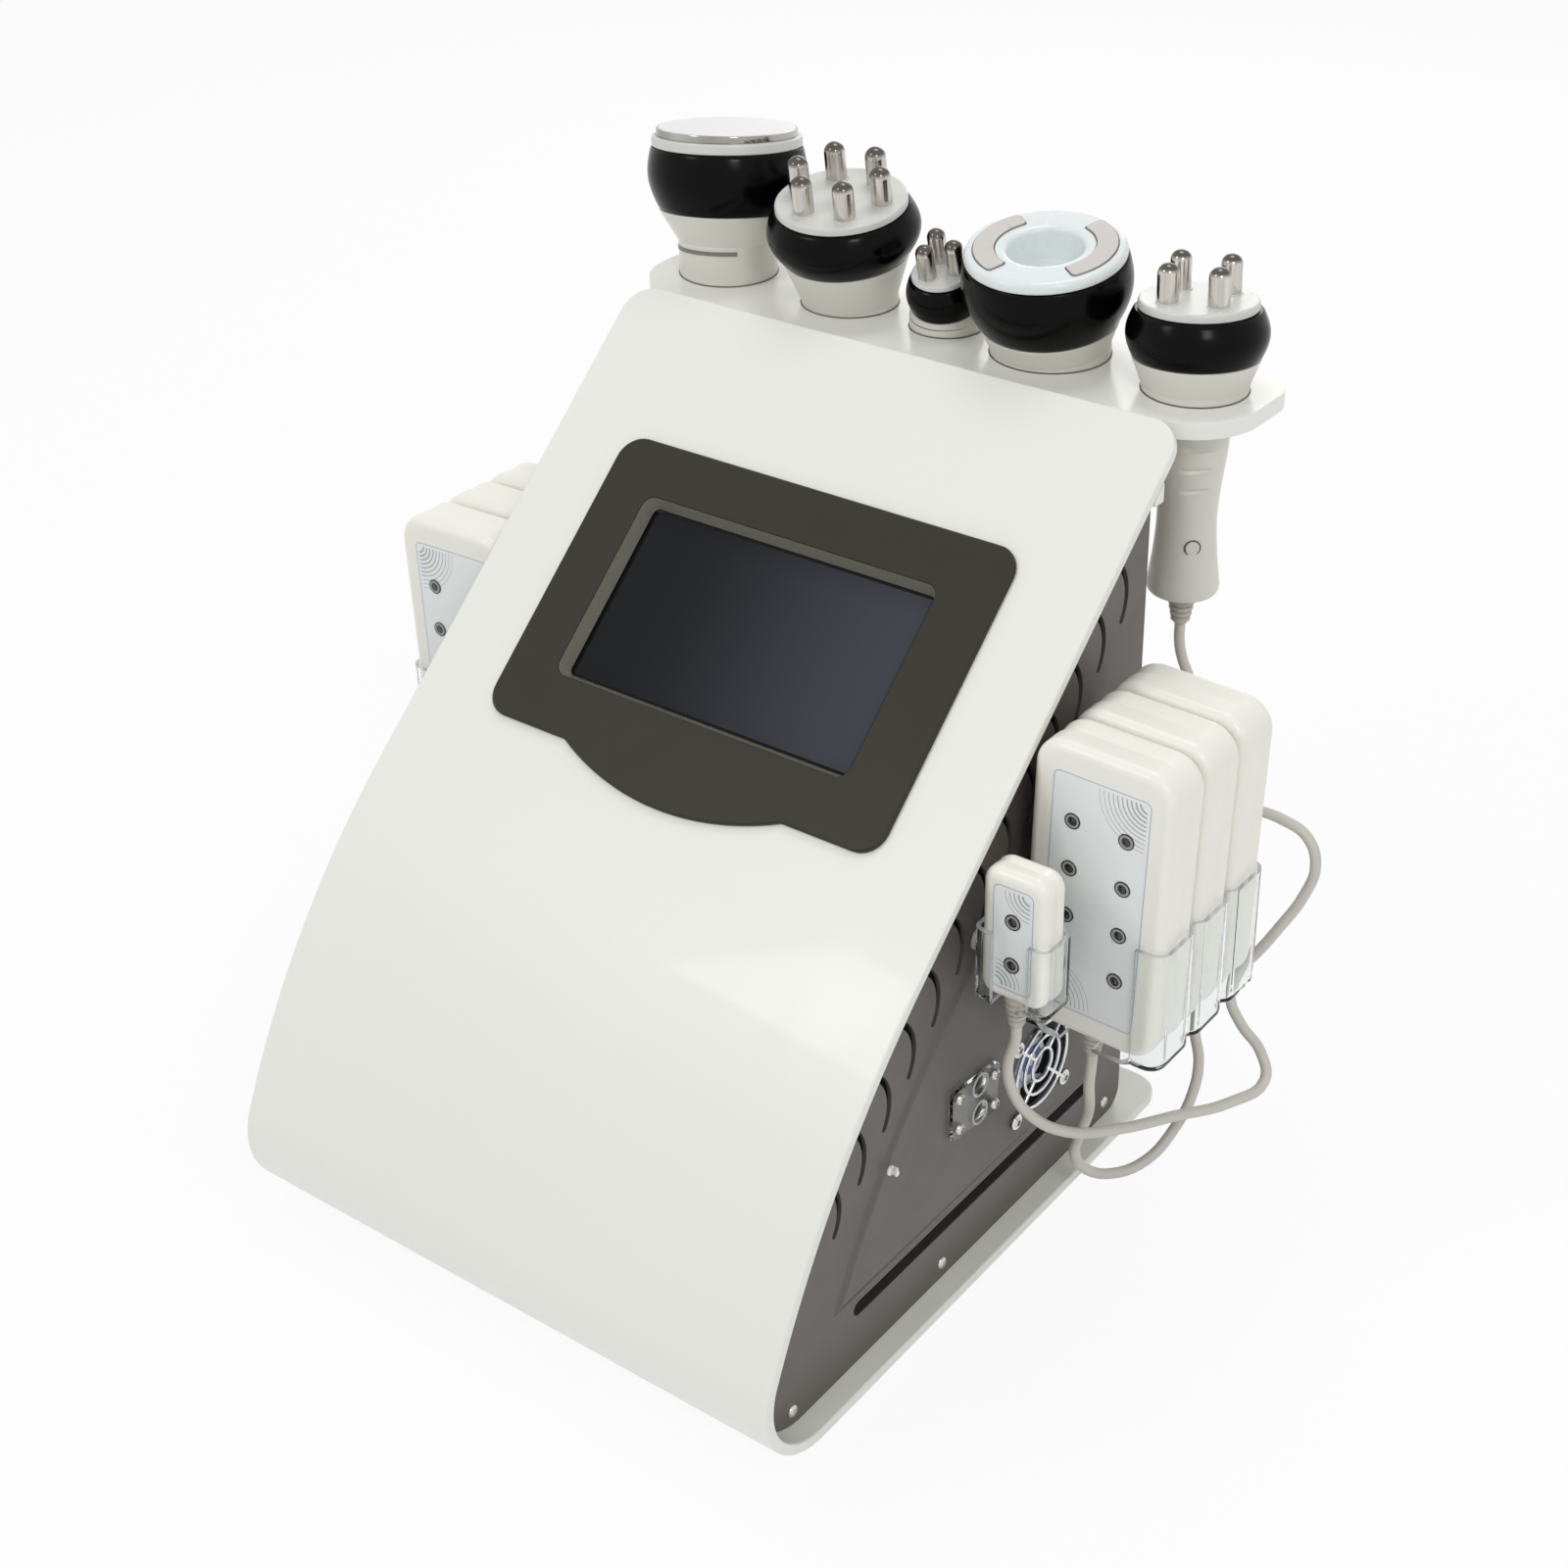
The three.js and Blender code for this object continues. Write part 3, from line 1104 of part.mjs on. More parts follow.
// Cords: each runs from its handpiece or pad to a flat coil behind the housing, and from there
// up to its plug in the rear panel. Points are chosen by hand, from the visible end onwards.
const onFloor = floorZ + cordRadius + seatGap / 2
const handleEndZ = shelfTopZ - handleLength - reliefLength
const coilTurnsOut = turns => turns * coilPitch / 2
const cordSpecs = [
  {
    name: 'quad_pole', turns: 4.5, centre: [50, 342], plug: [100, handpieceSocketZ],
    start: [handpieceSpecs[4].xShare * shelfHalfWidth, handpieceY, handleEndZ],
    route: [
      [129.6, 330, 234], [131, 331, 225], [134.6, 333, 214], [137, 337, 200], [136, 343, 184],
      [130, 350, 165], [121, 357, 143], [112, 363, 120], [105, 368, 97], [99, 372, 74],
      [94, 375, 52], [88, 377, 32], [79, 377.5, 15]
    ],
    tail: [
      [71, 308.7, 7], [81, 309.5, 15], [88, 311, 29], [93, 314, 49], [96, 319, 74], [98, 325, 102],
      [99.5, 331, 130], [100, 335, 158], [100, 336, 178], [100, 332.5, 193], [100, 323, 202.5]
    ]
  },
  {
    name: 'small_pad', turns: 2.5, centre: [-96, 342], plug: [25, padSocketZ],
    start: [
      smallPadX + smallPadReliefShift, smallPadFrontY + smallPadThickness / 2, smallPadRestZ - padReliefLength
    ],
    route: [
      [164, 142.6, 138], [160, 143.8, 124], [158.8, 147.4, 109], [164, 154.3, 91], [175.4, 169, 76.3],
      [189, 188, 71.5], [204.6, 212, 70.5], [220, 236, 70], [227.5, 252, 75], [221, 259, 84], [209, 262, 92],
      [200.5, 266, 102], [201.3, 271, 113.1], [206.9, 276, 122], [213.9, 281, 135], [222, 288, 153],
      [224.5, 291, 168], [218.4, 293, 179], [206.4, 293, 183.5], [192, 293, 184], [172, 297, 180],
      [150, 306, 171], [130, 321, 159], [113, 336, 146], [99, 346, 134], [80, 352, 121], [54, 356, 104],
      [26, 359, 86], [-4, 363, 66], [-30, 366, 46], [-52, 368.5, 27], [-70, 369.3, 11]
    ],
    tail: [
      [-76, 314.4, 7], [-63, 315, 13], [-49, 317, 25], [-34, 321, 42], [-18, 326, 62], [-3, 331, 84],
      [9, 335, 106], [18, 337, 125], [23.5, 336, 140], [25, 331, 151]
    ]
  },
  {
    name: 'laser_pad', turns: 3.5, centre: [-24, 342], plug: [75, padSocketZ],
    start: [
      padX + padReliefShift - padReliefLength * Math.sin(padLean), padFrontY + padThickness / 2,
      padRestZ - padReliefLength
    ],
    route: [
      [177.3, 184, 104.5], [175.8, 185.4, 93], [174.9, 187.8, 75.8], [168.8, 191.2, 56.6], [164, 196.6, 39.4],
      [165.8, 205, 26], [173.1, 215, 20.5], [182.3, 230, 22.5], [188.4, 245, 34.7], [190.5, 256, 48.4],
      [188.4, 264, 61], [181.7, 271, 71], [177, 279, 82], [170, 289, 92], [158, 300, 97], [141, 311, 95],
      [120, 322, 88], [96, 335, 79], [70, 347, 69], [48, 358, 57], [32, 366, 43], [20, 371.5, 27],
      [8, 373.5, 12]
    ],
    tail: [
      [-4, 311.5, 7], [9, 312, 13], [22, 314, 25], [35, 318, 43], [47, 323, 63], [58, 328, 86],
      [67, 333, 108], [73, 336, 128], [75.5, 335, 142], [75, 330, 152]
    ]
  }
]

// One coil: spirals in on the floor, climbs a layer in the half turn where it reverses, spirals out
function coilPath(turns, centre) {
  const span = turns * fullTurn
  const outer = coilInnerRadius + coilTurnsOut(turns)
  return part => {
    const fromMiddle = Math.abs(part - 0.5) * 2
    const radius = coilInnerRadius + (outer - coilInnerRadius) * fromMiddle
    const angle = quarterTurn + span * part
    const climb = THREE.MathUtils.clamp((part - 0.5) * span / halfTurn + 0.5, 0, 1)
    return new THREE.Vector3(
      centre[0] + radius * Math.cos(angle), centre[1] + radius * Math.sin(angle), onFloor + coilPitch * climb)
  }
}
function coilTube(spec) {
  const at = coilPath(spec.turns, spec.centre)
  const steps = coilLoopSteps * spec.turns
  const line = Array.from({ length: steps + 1 }, (_, step) => at(step / steps))
  const lead = (end, next) => end.clone().sub(next).setZ(0).setLength(2 * cordRadius).add(end)
  line.unshift(lead(line[0], line[1]))
  line.push(lead(line[steps + 1], line[steps]))
  let leastGap = Infinity
  line.forEach((point, i) => line.slice(i + coilLoopSteps / 2).forEach(other => {
    leastGap = Math.min(leastGap, point.distanceTo(other) - 2 * cordRadius)
  }))
  console.log(`${spec.name} coil: least gap between turns ${leastGap.toFixed(2)} mm`)
  const rings = line.map((point, i) => {
    const along = line[Math.min(i + 1, line.length - 1)].clone().sub(line[Math.max(i - 1, 0)]).normalize()
    const across = along.clone().cross(unitZ).normalize()
    const up = across.clone().cross(along)
    return disc(0, 0, cordRadius, coilSides).map(([a, b]) =>
      point.clone().addScaledVector(across, a).addScaledVector(up, b).toArray())
  })
  return { body: loft(rings), start: line[0], end: line[line.length - 1], into: lead(line[1], line[2]) }
}

// A free stretch of cord through its points
function cordTube(points) {
  const path = new THREE.CatmullRomCurve3(points)
  const section = new THREE.Shape(disc(0, 0, cordRadius, cordSides).map(([x, y]) => new THREE.Vector2(x, y)))
  const steps = Math.round(path.getLength() / cordStep)
  return solid(new THREE.ExtrudeGeometry(section, { steps, bevelEnabled: false, extrudePath: path }))
}
const vector = ([x, y, z]) => new THREE.Vector3(x, y, z)
const lengthOf = points => new THREE.CatmullRomCurve3(points).getLength()
for (const spec of cordSpecs) {
  const coil = coilTube(spec)
  const outward = coil.start.clone().sub(coilPath(spec.turns, spec.centre)(0)).normalize()
  const away = coil.end.clone().sub(coilPath(spec.turns, spec.centre)(1)).normalize()
  const meet = coil.start.clone().addScaledVector(outward, seatGap)
  const route = [
    vector(spec.start).setZ(spec.start[2] - seatGap), ...spec.route.map(vector),
    meet.clone().addScaledVector(outward, 2 * cordRadius), meet
  ]
  const leave = coil.end.clone().addScaledVector(away, seatGap)
  const [plugX, plugZ] = spec.plug
  const plugY = panelRearY + socketProud + seatGap
  const tailTop = new THREE.Vector3(plugX, plugY + plugLength + plugTailLength, plugZ)
  const tail = [
    leave, leave.clone().addScaledVector(away, 2 * cordRadius), ...spec.tail.map(vector),
    tailTop.clone().setY(tailTop.y + cordRadius), tailTop.clone().setY(tailTop.y - plugTailLength / 2)
  ]
  const plug = toRear(turned([
    [0, 0], [plugRadius, 0], [plugRadius, plugLength], [plugTailRadius, plugLength],
    [plugTailRadius * plugTaperShare, plugLength + plugTailLength], [0, plugLength + plugTailLength]
  ], screwSides)).translate([plugX, plugY, plugZ])
  put(`${spec.name}_cord`, surface(cordTube(route)), cordGrey)
  put(`${spec.name}_cord_coil`, surface(coil.body), cordGrey)
  put(`${spec.name}_cord_plug`, surface(plug.add(cordTube(tail))), cordGrey)
  const coiled = spec.turns * fullTurn * (coilInnerRadius + coilTurnsOut(spec.turns) / 2)
  console.log(`${spec.name} cord: ${Math.round(lengthOf(route) + coiled + lengthOf(tail))} mm long`)
}

// Stands the machine on the floor with its footprint, cords left out, about the origin
machine.updateMatrixWorld(true)
const footprint = new THREE.Box3()
machine.traverse(piece => {
  if (piece.isMesh && !piece.name.includes('cord')) footprint.expandByObject(piece, true)
})
const middle = footprint.getCenter(new THREE.Vector3())
machine.position.set(-middle.x, -middle.y, footHeight)

export default machine
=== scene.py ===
# Desktop cavitation slimming machine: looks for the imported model.
# Lengths in the making are millimetres in the drawing's own frame; every finished piece is set
# into the row's frame in metres at the end, with its place in its mesh.
import json
from math import asin, atan2, cos, degrees, hypot, pi, radians, sin, tan

import bmesh
import bpy
from mathutils import Matrix, Vector

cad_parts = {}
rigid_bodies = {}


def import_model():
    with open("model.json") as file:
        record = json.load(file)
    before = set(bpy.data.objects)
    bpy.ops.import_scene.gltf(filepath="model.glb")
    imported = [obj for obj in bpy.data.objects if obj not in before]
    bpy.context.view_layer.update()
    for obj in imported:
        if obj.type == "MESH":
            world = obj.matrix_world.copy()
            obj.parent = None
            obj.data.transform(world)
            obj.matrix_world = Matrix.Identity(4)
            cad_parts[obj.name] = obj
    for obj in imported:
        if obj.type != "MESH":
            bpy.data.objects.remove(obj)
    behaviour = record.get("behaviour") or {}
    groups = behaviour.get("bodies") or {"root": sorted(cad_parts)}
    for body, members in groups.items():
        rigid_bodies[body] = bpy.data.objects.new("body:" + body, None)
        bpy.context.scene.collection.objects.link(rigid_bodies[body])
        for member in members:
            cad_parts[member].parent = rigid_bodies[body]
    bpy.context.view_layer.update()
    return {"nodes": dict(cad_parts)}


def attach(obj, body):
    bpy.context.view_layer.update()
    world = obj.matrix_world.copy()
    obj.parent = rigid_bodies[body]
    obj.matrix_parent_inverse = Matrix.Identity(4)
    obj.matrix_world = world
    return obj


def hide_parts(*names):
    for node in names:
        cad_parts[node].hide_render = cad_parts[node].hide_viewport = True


for thing in list(bpy.data.objects):
    bpy.data.objects.remove(thing)
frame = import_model()
nodes = frame["nodes"]
scene = bpy.context.scene
footprint_y, feet_low = 180.2123, -4
to_row = (Matrix.Diagonal((0.001, 0.001, 0.001, 1))
          @ Matrix.Translation((0, -footprint_y, -feet_low)))

# Camera at the photograph's place
lens = bpy.data.cameras.new("camera")
lens.sensor_width = 36
lens.lens = 57.89
lens.shift_x = -0.0434
lens.shift_y = -0.0687
camera = bpy.data.objects.new("camera", lens)
camera.rotation_mode = "QUATERNION"
camera.rotation_quaternion = (0.8197207, 0.4821938, 0.1595557, 0.2647433)
camera.location = (0.6099, -0.7601, 0.7831)
scene.collection.objects.link(camera)
scene.camera = camera

# Sizes of the drawing, the bent sheet's line first
shell_half = 150
sheet_thickness = 5
nose_radius = 37.3
nose_centre = (25, 37.3)
nose_heading = radians(66.3)
front_radius = 398
face_slope = radians(41.43)
face_top_y = 285
base_rear_y = 304
front_centre = (
    nose_centre[0] - (nose_radius - front_radius) * sin(nose_heading),
    nose_centre[1] + (nose_radius - front_radius) * cos(nose_heading),
)
face_foot = (
    front_centre[0] - front_radius * sin(face_slope),
    front_centre[1] + front_radius * cos(face_slope),
)
face_top_z = face_foot[1] + (face_top_y - face_foot[0]) * tan(face_slope)
display_middle = (-1.5, -146.3)
window_half = (84, 49.5)
panel_x = 139
panel_face = 140.5
panel_wall = 2
rear_y = 279
groove_ends, groove_z = (65, 245), 34
fan_place = (202, 77.2)
cover_holes = [(149.5, 84.5), (149.5, 99.5)]
shelf_top = face_top_z - 3.1
shelf_half = 164
handpiece_row_y = 330
handle_length, handle_relief = 98, 17
pad_lean = radians(1.7)
pad_pitch = 29
pad_relief = 16.5
big_size = dict(width=66.5, height=139.5, depth=26, corner=14, label=(23.6, 58.1), columns=2, rows=4,
                pitch=23, rise=1, relief_x=-2, ripples=22)
small_size = dict(width=31.5, height=62.5, depth=16.5, corner=8, label=(10.4, 25.8), columns=1,
                  rows=2, pitch=21, rise=-1.5, relief_x=-2, ripples=11)
big_holder = dict(centre=180, width=66.5, front=171, depth=26, count=3, floor=124.2, height=59.3,
                  corner=8, lean=pad_lean)
small_holder = dict(centre=166.3, width=31.5, front=134.3, depth=16.5, count=1, floor=159.2,
                    height=34.5, corner=5, lean=0)
holder_wall = 2
side_view = Matrix(((0, 0, 1, 0), (1, 0, 0, 0), (0, 1, 0, 0), (0, 0, 0, 1)))
front_view = Matrix(((1, 0, 0, 0), (0, 0, -1, 0), (0, 1, 0, 0), (0, 0, 0, 1)))
slanted_face = Matrix.Translation((0, face_top_y, face_top_z)) @ Matrix.Rotation(face_slope, 4, "X")
mirrored = Matrix.Diagonal((-1, 1, 1, 1))


def face_height(y, inset):
    return face_top_z - (face_top_y - y) * tan(face_slope) - inset / cos(face_slope)


# Outlines: lists of points in a plane
def arc(centre, radius, start, end, steps):
    return [
        (centre[0] + radius * cos(start + (end - start) * k / steps),
         centre[1] + radius * sin(start + (end - start) * k / steps))
        for k in range(steps + 1)
    ]


def round_box(left, low, right, high, radius, steps=6):
    quarter = pi / 2
    return [
        *arc((right - radius, low + radius), radius, -quarter, 0, steps),
        *arc((right - radius, high - radius), radius, 0, quarter, steps),
        *arc((left + radius, high - radius), radius, quarter, pi, steps),
        *arc((left + radius, low + radius), radius, pi, 3 * quarter, steps),
    ]


def circle(x, y, radius, steps=32):
    return arc((x, y), radius, 0, 2 * pi, steps)[:-1]


def flowing(points, steps=6):
    """A smooth line through the points"""
    line = [Vector(p) for p in points]
    ends = [2 * line[0] - line[1], *line, 2 * line[-1] - line[-2]]
    out = []
    for a, b, c, d in zip(ends, ends[1:], ends[2:], ends[3:]):
        for k in range(steps):
            t = k / steps
            out.append(0.5 * (2 * b + (c - a) * t + (2 * a - 5 * b + 4 * c - d) * t ** 2
                              + (3 * b - 3 * c + d - a) * t ** 3))
    return [tuple(p) for p in out] + [tuple(line[-1])]


# Shapes
def posed(place, angle, axis="X"):
    """A frame at a place, turned about one of its axes"""
    return Matrix.Translation(place) @ Matrix.Rotation(angle, 4, axis)


def verts_in(geometry):
    return [v for v in geometry if isinstance(v, bmesh.types.BMVert)]


def closed_loop(made, points, z=0.0):
    """A closed line of edges at one height"""
    corners = [made.verts.new((x, y, z)) for x, y in points]
    return [made.edges.new(pair) for pair in zip(corners, corners[1:] + corners[:1])]


def flat(outline, holes=()):
    """A flat face less its holes, filled askew because level rows of points mislead the fill"""
    made = bmesh.new()
    rims = [edge for loop in (outline, *holes) for edge in closed_loop(made, loop)]
    askew = Matrix.Rotation(0.37, 4, "Z")
    bmesh.ops.transform(made, matrix=askew, verts=made.verts)
    bmesh.ops.triangle_fill(made, edges=rims, use_beauty=True)
    bmesh.ops.transform(made, matrix=askew.inverted(), verts=made.verts)
    bmesh.ops.recalc_face_normals(made, faces=made.faces)
    return looking(made, (0, 0, 1))


def looking(made, direction):
    """Turns an open sheet's faces so that most of them look that way"""
    made.normal_update()
    lean = sum(face.calc_area() * face.normal.dot(Vector(direction)) for face in made.faces)
    if lean < 0:
        bmesh.ops.reverse_faces(made, faces=made.faces)
    return made


def grown(made, low, high):
    """Gives a flat face its thickness"""
    bmesh.ops.translate(made, verts=made.verts, vec=(0, 0, low))
    lifted = bmesh.ops.extrude_face_region(made, geom=made.faces[:])["geom"]
    bmesh.ops.translate(made, verts=verts_in(lifted), vec=(0, 0, high - low))
    bmesh.ops.recalc_face_normals(made, faces=made.faces)
    return made


def plate(outline, low, high, holes=(), edge=0.0):
    made = grown(flat(outline, holes), low, high)
    return softened(made, edge) if edge else made


def rounded_off(made, geometry, width, steps, clamped=False, affect="EDGES"):
    bmesh.ops.bevel(made, geom=geometry, offset=width, offset_type="OFFSET", segments=steps,
                    profile=0.5, affect=affect, clamp_overlap=clamped, material=-1)


def softened(made, width):
    """Rounds the sharp edges a little"""
    bmesh.ops.dissolve_limit(made, angle_limit=radians(0.5), verts=made.verts, edges=made.edges)
    made.normal_update()
    sharp = [e for e in made.edges if len(e.link_faces) == 2 and e.calc_face_angle(0) > radians(35)]
    rounded_off(made, sharp, width, 2, clamped=True)
    return made


def turned(profile, steps=48):
    """A profile of (radius, height) pairs spun about Z"""
    made = bmesh.new()
    line = [made.verts.new((radius, 0, height)) for radius, height in profile]
    edges = [made.edges.new(pair) for pair in zip(line, line[1:])]
    bmesh.ops.spin(made, geom=line + edges, axis=(0, 0, 1), cent=(0, 0, 0), angle=2 * pi,
                   steps=steps, use_merge=True)
    bmesh.ops.remove_doubles(made, verts=made.verts, dist=0.0002)
    bmesh.ops.recalc_face_normals(made, faces=made.faces)
    return made


def ring(radius, wire, steps=48, sides=10):
    return turned([(radius + wire * cos(2 * pi * k / sides), wire * sin(2 * pi * k / sides))
                   for k in range(sides + 1)], steps)


def rod(radius, low, high, steps=24, edge=0.0):
    if edge:
        profile = [(0, low), (radius - edge, low), (radius, low + edge), (radius, high - edge),
                   (radius - edge, high), (0, high)]
    else:
        profile = [(0, low), (radius, low), (radius, high), (0, high)]
    return turned(profile, steps)


def block(size, middle=(0, 0, 0), edge=0.0):
    made = bmesh.new()
    bmesh.ops.create_cube(made, size=1)
    bmesh.ops.scale(made, vec=size, verts=made.verts)
    bmesh.ops.translate(made, vec=middle, verts=made.verts)
    return softened(made, edge) if edge else made


def moved(made, *steps):
    """Carries a shape through frames, the last one first"""
    for matrix in reversed(steps):
        if not isinstance(matrix, Matrix):
            matrix = Matrix.Translation(matrix)
        bmesh.ops.transform(made, matrix=matrix, verts=made.verts)
        if matrix.determinant() < 0:
            bmesh.ops.reverse_faces(made, faces=made.faces)
    return made


def several(*shapes):
    whole = bmesh.new()
    for shape in shapes:
        buffer = bpy.data.meshes.new("buffer")
        shape.to_mesh(buffer)
        whole.from_mesh(buffer)
        bpy.data.meshes.remove(buffer)
        shape.free()
    return whole


def piece(name, parts, body, stands_for=(), smooth=38):
    """One finished piece: each part is a shape and its material"""
    finishes = []
    shapes = []
    for shape, finish in parts:
        if finish not in finishes:
            finishes.append(finish)
        for face in shape.faces:
            face.material_index = finishes.index(finish)
        shapes.append(shape)
    whole = moved(several(*shapes), to_row)
    whole.normal_update()
    for face in whole.faces:
        face.smooth = True
    for edge in whole.edges:
        edge.smooth = len(edge.link_faces) == 2 and edge.calc_face_angle(0) < radians(smooth)
    mesh = bpy.data.meshes.new(name)
    whole.to_mesh(mesh)
    whole.free()
    for finish in finishes:
        mesh.materials.append(finish)
    made = bpy.data.objects.new(name, mesh)
    scene.collection.objects.link(made)
    even = made.modifiers.new("even shading", "WEIGHTED_NORMAL")
    even.keep_sharp = True
    return placed(made, body, stands_for)


def placed(made, body, stands_for=()):
    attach(made, body)
    if stands_for:
        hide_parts(*stands_for)
    return made


def walled(made, thickness, even=False):
    """A live wall behind a piece's open sheet, before its shading"""
    wall = made.modifiers.new("wall", "SOLIDIFY")
    wall.thickness = thickness * 0.001
    wall.offset = -1
    wall.use_even_offset = even
    made.modifiers.move(made.modifiers.find("wall"), 0)
    return wall


def second_finish(made, look, chosen):
    """Gives a piece another material where its faces' places are chosen"""
    made.data.materials.append(look)
    for face in made.data.polygons:
        if chosen(face.center):
            face.material_index = 1


# Surface effects
def srgb(red, green, blue):
    return tuple(c / 12.92 if c <= 0.04045 else ((c + 0.055) / 1.055) ** 2.4
                 for c in (red / 255, green / 255, blue / 255)) + (1.0,)


def feed(tree, node, inputs):
    """Links sockets to a node's inputs and sets its values"""
    for label, value in inputs.items():
        if isinstance(value, bpy.types.NodeSocket):
            tree.links.new(value, node.inputs[label])
        else:
            node.inputs[label].default_value = value


def add(tree, kind, inputs=None, **settings):
    """A shader node with its settings, then its inputs"""
    made = tree.nodes.new("ShaderNode" + kind)
    for label, value in settings.items():
        setattr(made, label, value)
    feed(tree, made, inputs or {})
    return made


def mixed(tree, factor, first, second):
    return add(tree, "Mix", {"Factor": factor, "A": first, "B": second},
               data_type="RGBA").outputs["Result"]


def most(tree, first, second):
    return add(tree, "Math", {0: first, 1: second}, operation="MAXIMUM").outputs[0]


def effect(name, inputs, outputs):
    group = bpy.data.node_groups.new(name, "ShaderNodeTree")
    for label, kind, value in inputs:
        socket = group.interface.new_socket(label, in_out="INPUT", socket_type=kind)
        if value is not None:
            socket.default_value = value
    for label, kind in outputs:
        group.interface.new_socket(label, in_out="OUTPUT", socket_type=kind)
    return group, group.nodes.new("NodeGroupInput"), group.nodes.new("NodeGroupOutput")


def make_grain():
    """Fine surface grain, broad soft shading and handling marks"""
    group, start, end = effect("surface grain", [
        ("Vector", "NodeSocketVector", None), ("Grain Scale", "NodeSocketFloat", 900.0),
        ("Patch Scale", "NodeSocketFloat", 14.0)], [
        ("Grain", "NodeSocketFloat"), ("Shade", "NodeSocketFloat"), ("Marks", "NodeSocketFloat")])
    vector, patch = start.outputs["Vector"], start.outputs["Patch Scale"]
    fine = add(group, "TexNoise", {"Vector": vector, "Scale": start.outputs["Grain Scale"],
                                   "Detail": 3, "Roughness": 0.6})
    broad = add(group, "TexNoise", {"Vector": vector, "Scale": patch, "Detail": 2})
    tighter = add(group, "Math", {0: patch, 1: 4.5}, operation="MULTIPLY")
    smears = add(group, "TexNoise", {"Vector": vector, "Scale": tighter.outputs[0],
                                     "Detail": 5, "Distortion": 0.8})
    spread = add(group, "MapRange", {"Value": smears.outputs["Fac"], "From Min": 0.42,
                                     "From Max": 0.62})
    feed(group, end, {"Grain": fine.outputs["Fac"], "Shade": broad.outputs["Fac"],
                      "Marks": spread.outputs["Result"]})
    return group


surface_grain = make_grain()


def finish(name, colour, roughness, metal=0.0, grain_scale=900.0, patch_scale=14.0, relief=0.02,
           variation=0.03, marks=0.06, specular=0.5, coat=0.0, stretch=None, turn=(0, 0, 0),
           tint=None, **constants):
    """A material with grain in its relief (mm), soft shading in its colour and marks in its gloss"""
    made = bpy.data.materials.new(name)
    made.use_nodes = True
    tree = made.node_tree
    vector = add(tree, "TexCoord").outputs["Object"]
    if stretch:
        vector = add(tree, "Mapping", {"Vector": vector, "Rotation": turn, "Scale": stretch},
                     vector_type="TEXTURE").outputs["Vector"]
    grain = add(tree, "Group", {"Vector": vector, "Grain Scale": grain_scale,
                                "Patch Scale": patch_scale}, node_tree=surface_grain)
    base = Vector(colour[:3])
    lighter = Vector(tint[:3]) if tint else base * (1 + variation)
    gloss = add(tree, "MapRange", {"Value": grain.outputs["Marks"],
                                   "To Min": max(roughness - marks / 2, 0.02),
                                   "To Max": roughness + marks / 2})
    bump = add(tree, "Bump", {"Strength": 0.6, "Distance": relief * 0.001,
                              "Height": grain.outputs["Grain"]})
    feed(tree, tree.nodes["Principled BSDF"], {
        "Base Color": mixed(tree, grain.outputs["Shade"], (*(base * (1 - variation)), 1),
                            (*[min(c, 1) for c in lighter], 1)),
        "Roughness": gloss.outputs["Result"], "Normal": bump.outputs["Normal"], "Metallic": metal,
        "Specular IOR Level": specular, "Coat Weight": coat, "Coat Roughness": 0.06,
        **{label.replace("_", " "): value for label, value in constants.items()}})
    return made


white_coat = finish("white coat", srgb(240, 240, 234), 0.36, relief=0.02, grain_scale=1400,
                    variation=0.012, patch_scale=5, coat=0.15)
shelf_coat = finish("shelf coat", srgb(243, 243, 238), 0.24, relief=0.01, grain_scale=1400,
                    variation=0.012, patch_scale=5, coat=0.1)
# Near black for a sheet behind the vents: painted shade of the housing's inside
vent_shade_black = finish("vent painted shade", srgb(15, 15, 15), 0.8, relief=0.05, specular=0.1)
# Lighter grey for the display recess walls: painted light on them
recess_painted_light = finish("recess painted light", srgb(118, 116, 104), 0.26, relief=0.02, grain_scale=1800)
grey_coat = finish("grey coat", srgb(96, 91, 86), 0.46, relief=0.03, grain_scale=1600,
                   variation=0.05, patch_scale=9, specular=0.45)
rear_coat = finish("rear coat", srgb(96, 91, 86), 0.5, relief=0.04, grain_scale=1500,
                   variation=0.05, patch_scale=9)
dark_bezel = finish("dark bezel", srgb(49, 47, 39), 0.34, relief=0.02, grain_scale=1800,
                    variation=0.05, patch_scale=8, specular=0.22)
zinc = finish("zinc sheet", srgb(186, 188, 188), 0.38, metal=1.0, grain_scale=500,
              relief=0.03, variation=0.12, patch_scale=60, marks=0.2)
black_plastic = finish("black plastic", srgb(30, 30, 31), 0.5, relief=0.05, grain_scale=1500)
socket_metal = finish("socket metal", srgb(200, 198, 192), 0.24, metal=1.0, relief=0.01,
                      variation=0.05, patch_scale=120)
contact_gold = finish("contact gold", srgb(214, 176, 96), 0.26, metal=1.0, relief=0.01)
chrome = finish("chrome wire", srgb(226, 226, 228), 0.13, metal=1.0, relief=0.01,
                variation=0.06, patch_scale=160, marks=0.1)
screw_steel = finish("screw steel", srgb(206, 204, 198), 0.26, metal=1.0, relief=0.01,
                     variation=0.08, patch_scale=300)
cream = finish("cream plastic", srgb(247, 245, 236), 0.32, relief=0.015, grain_scale=1200,
               variation=0.012, patch_scale=20, coat=0.1)
label_face = finish("label face", srgb(240, 243, 243), 0.22, relief=0.006, grain_scale=2500,
                    variation=0.03, patch_scale=25, coat=0.3)
label_ink = finish("label ink", srgb(168, 171, 172), 0.3, relief=0.006, variation=0.06,
                   patch_scale=150)
lens_dark = finish("lens dark", srgb(26, 24, 24), 0.12, relief=0.004, coat=0.6, variation=0.1)
lens_rim = finish("lens rim", srgb(158, 160, 158), 0.3, relief=0.01)
grip_black = finish("gloss black", srgb(5, 5, 5), 0.2, relief=0.004, grain_scale=900,
                    variation=0.1, marks=0.05, specular=0.1)
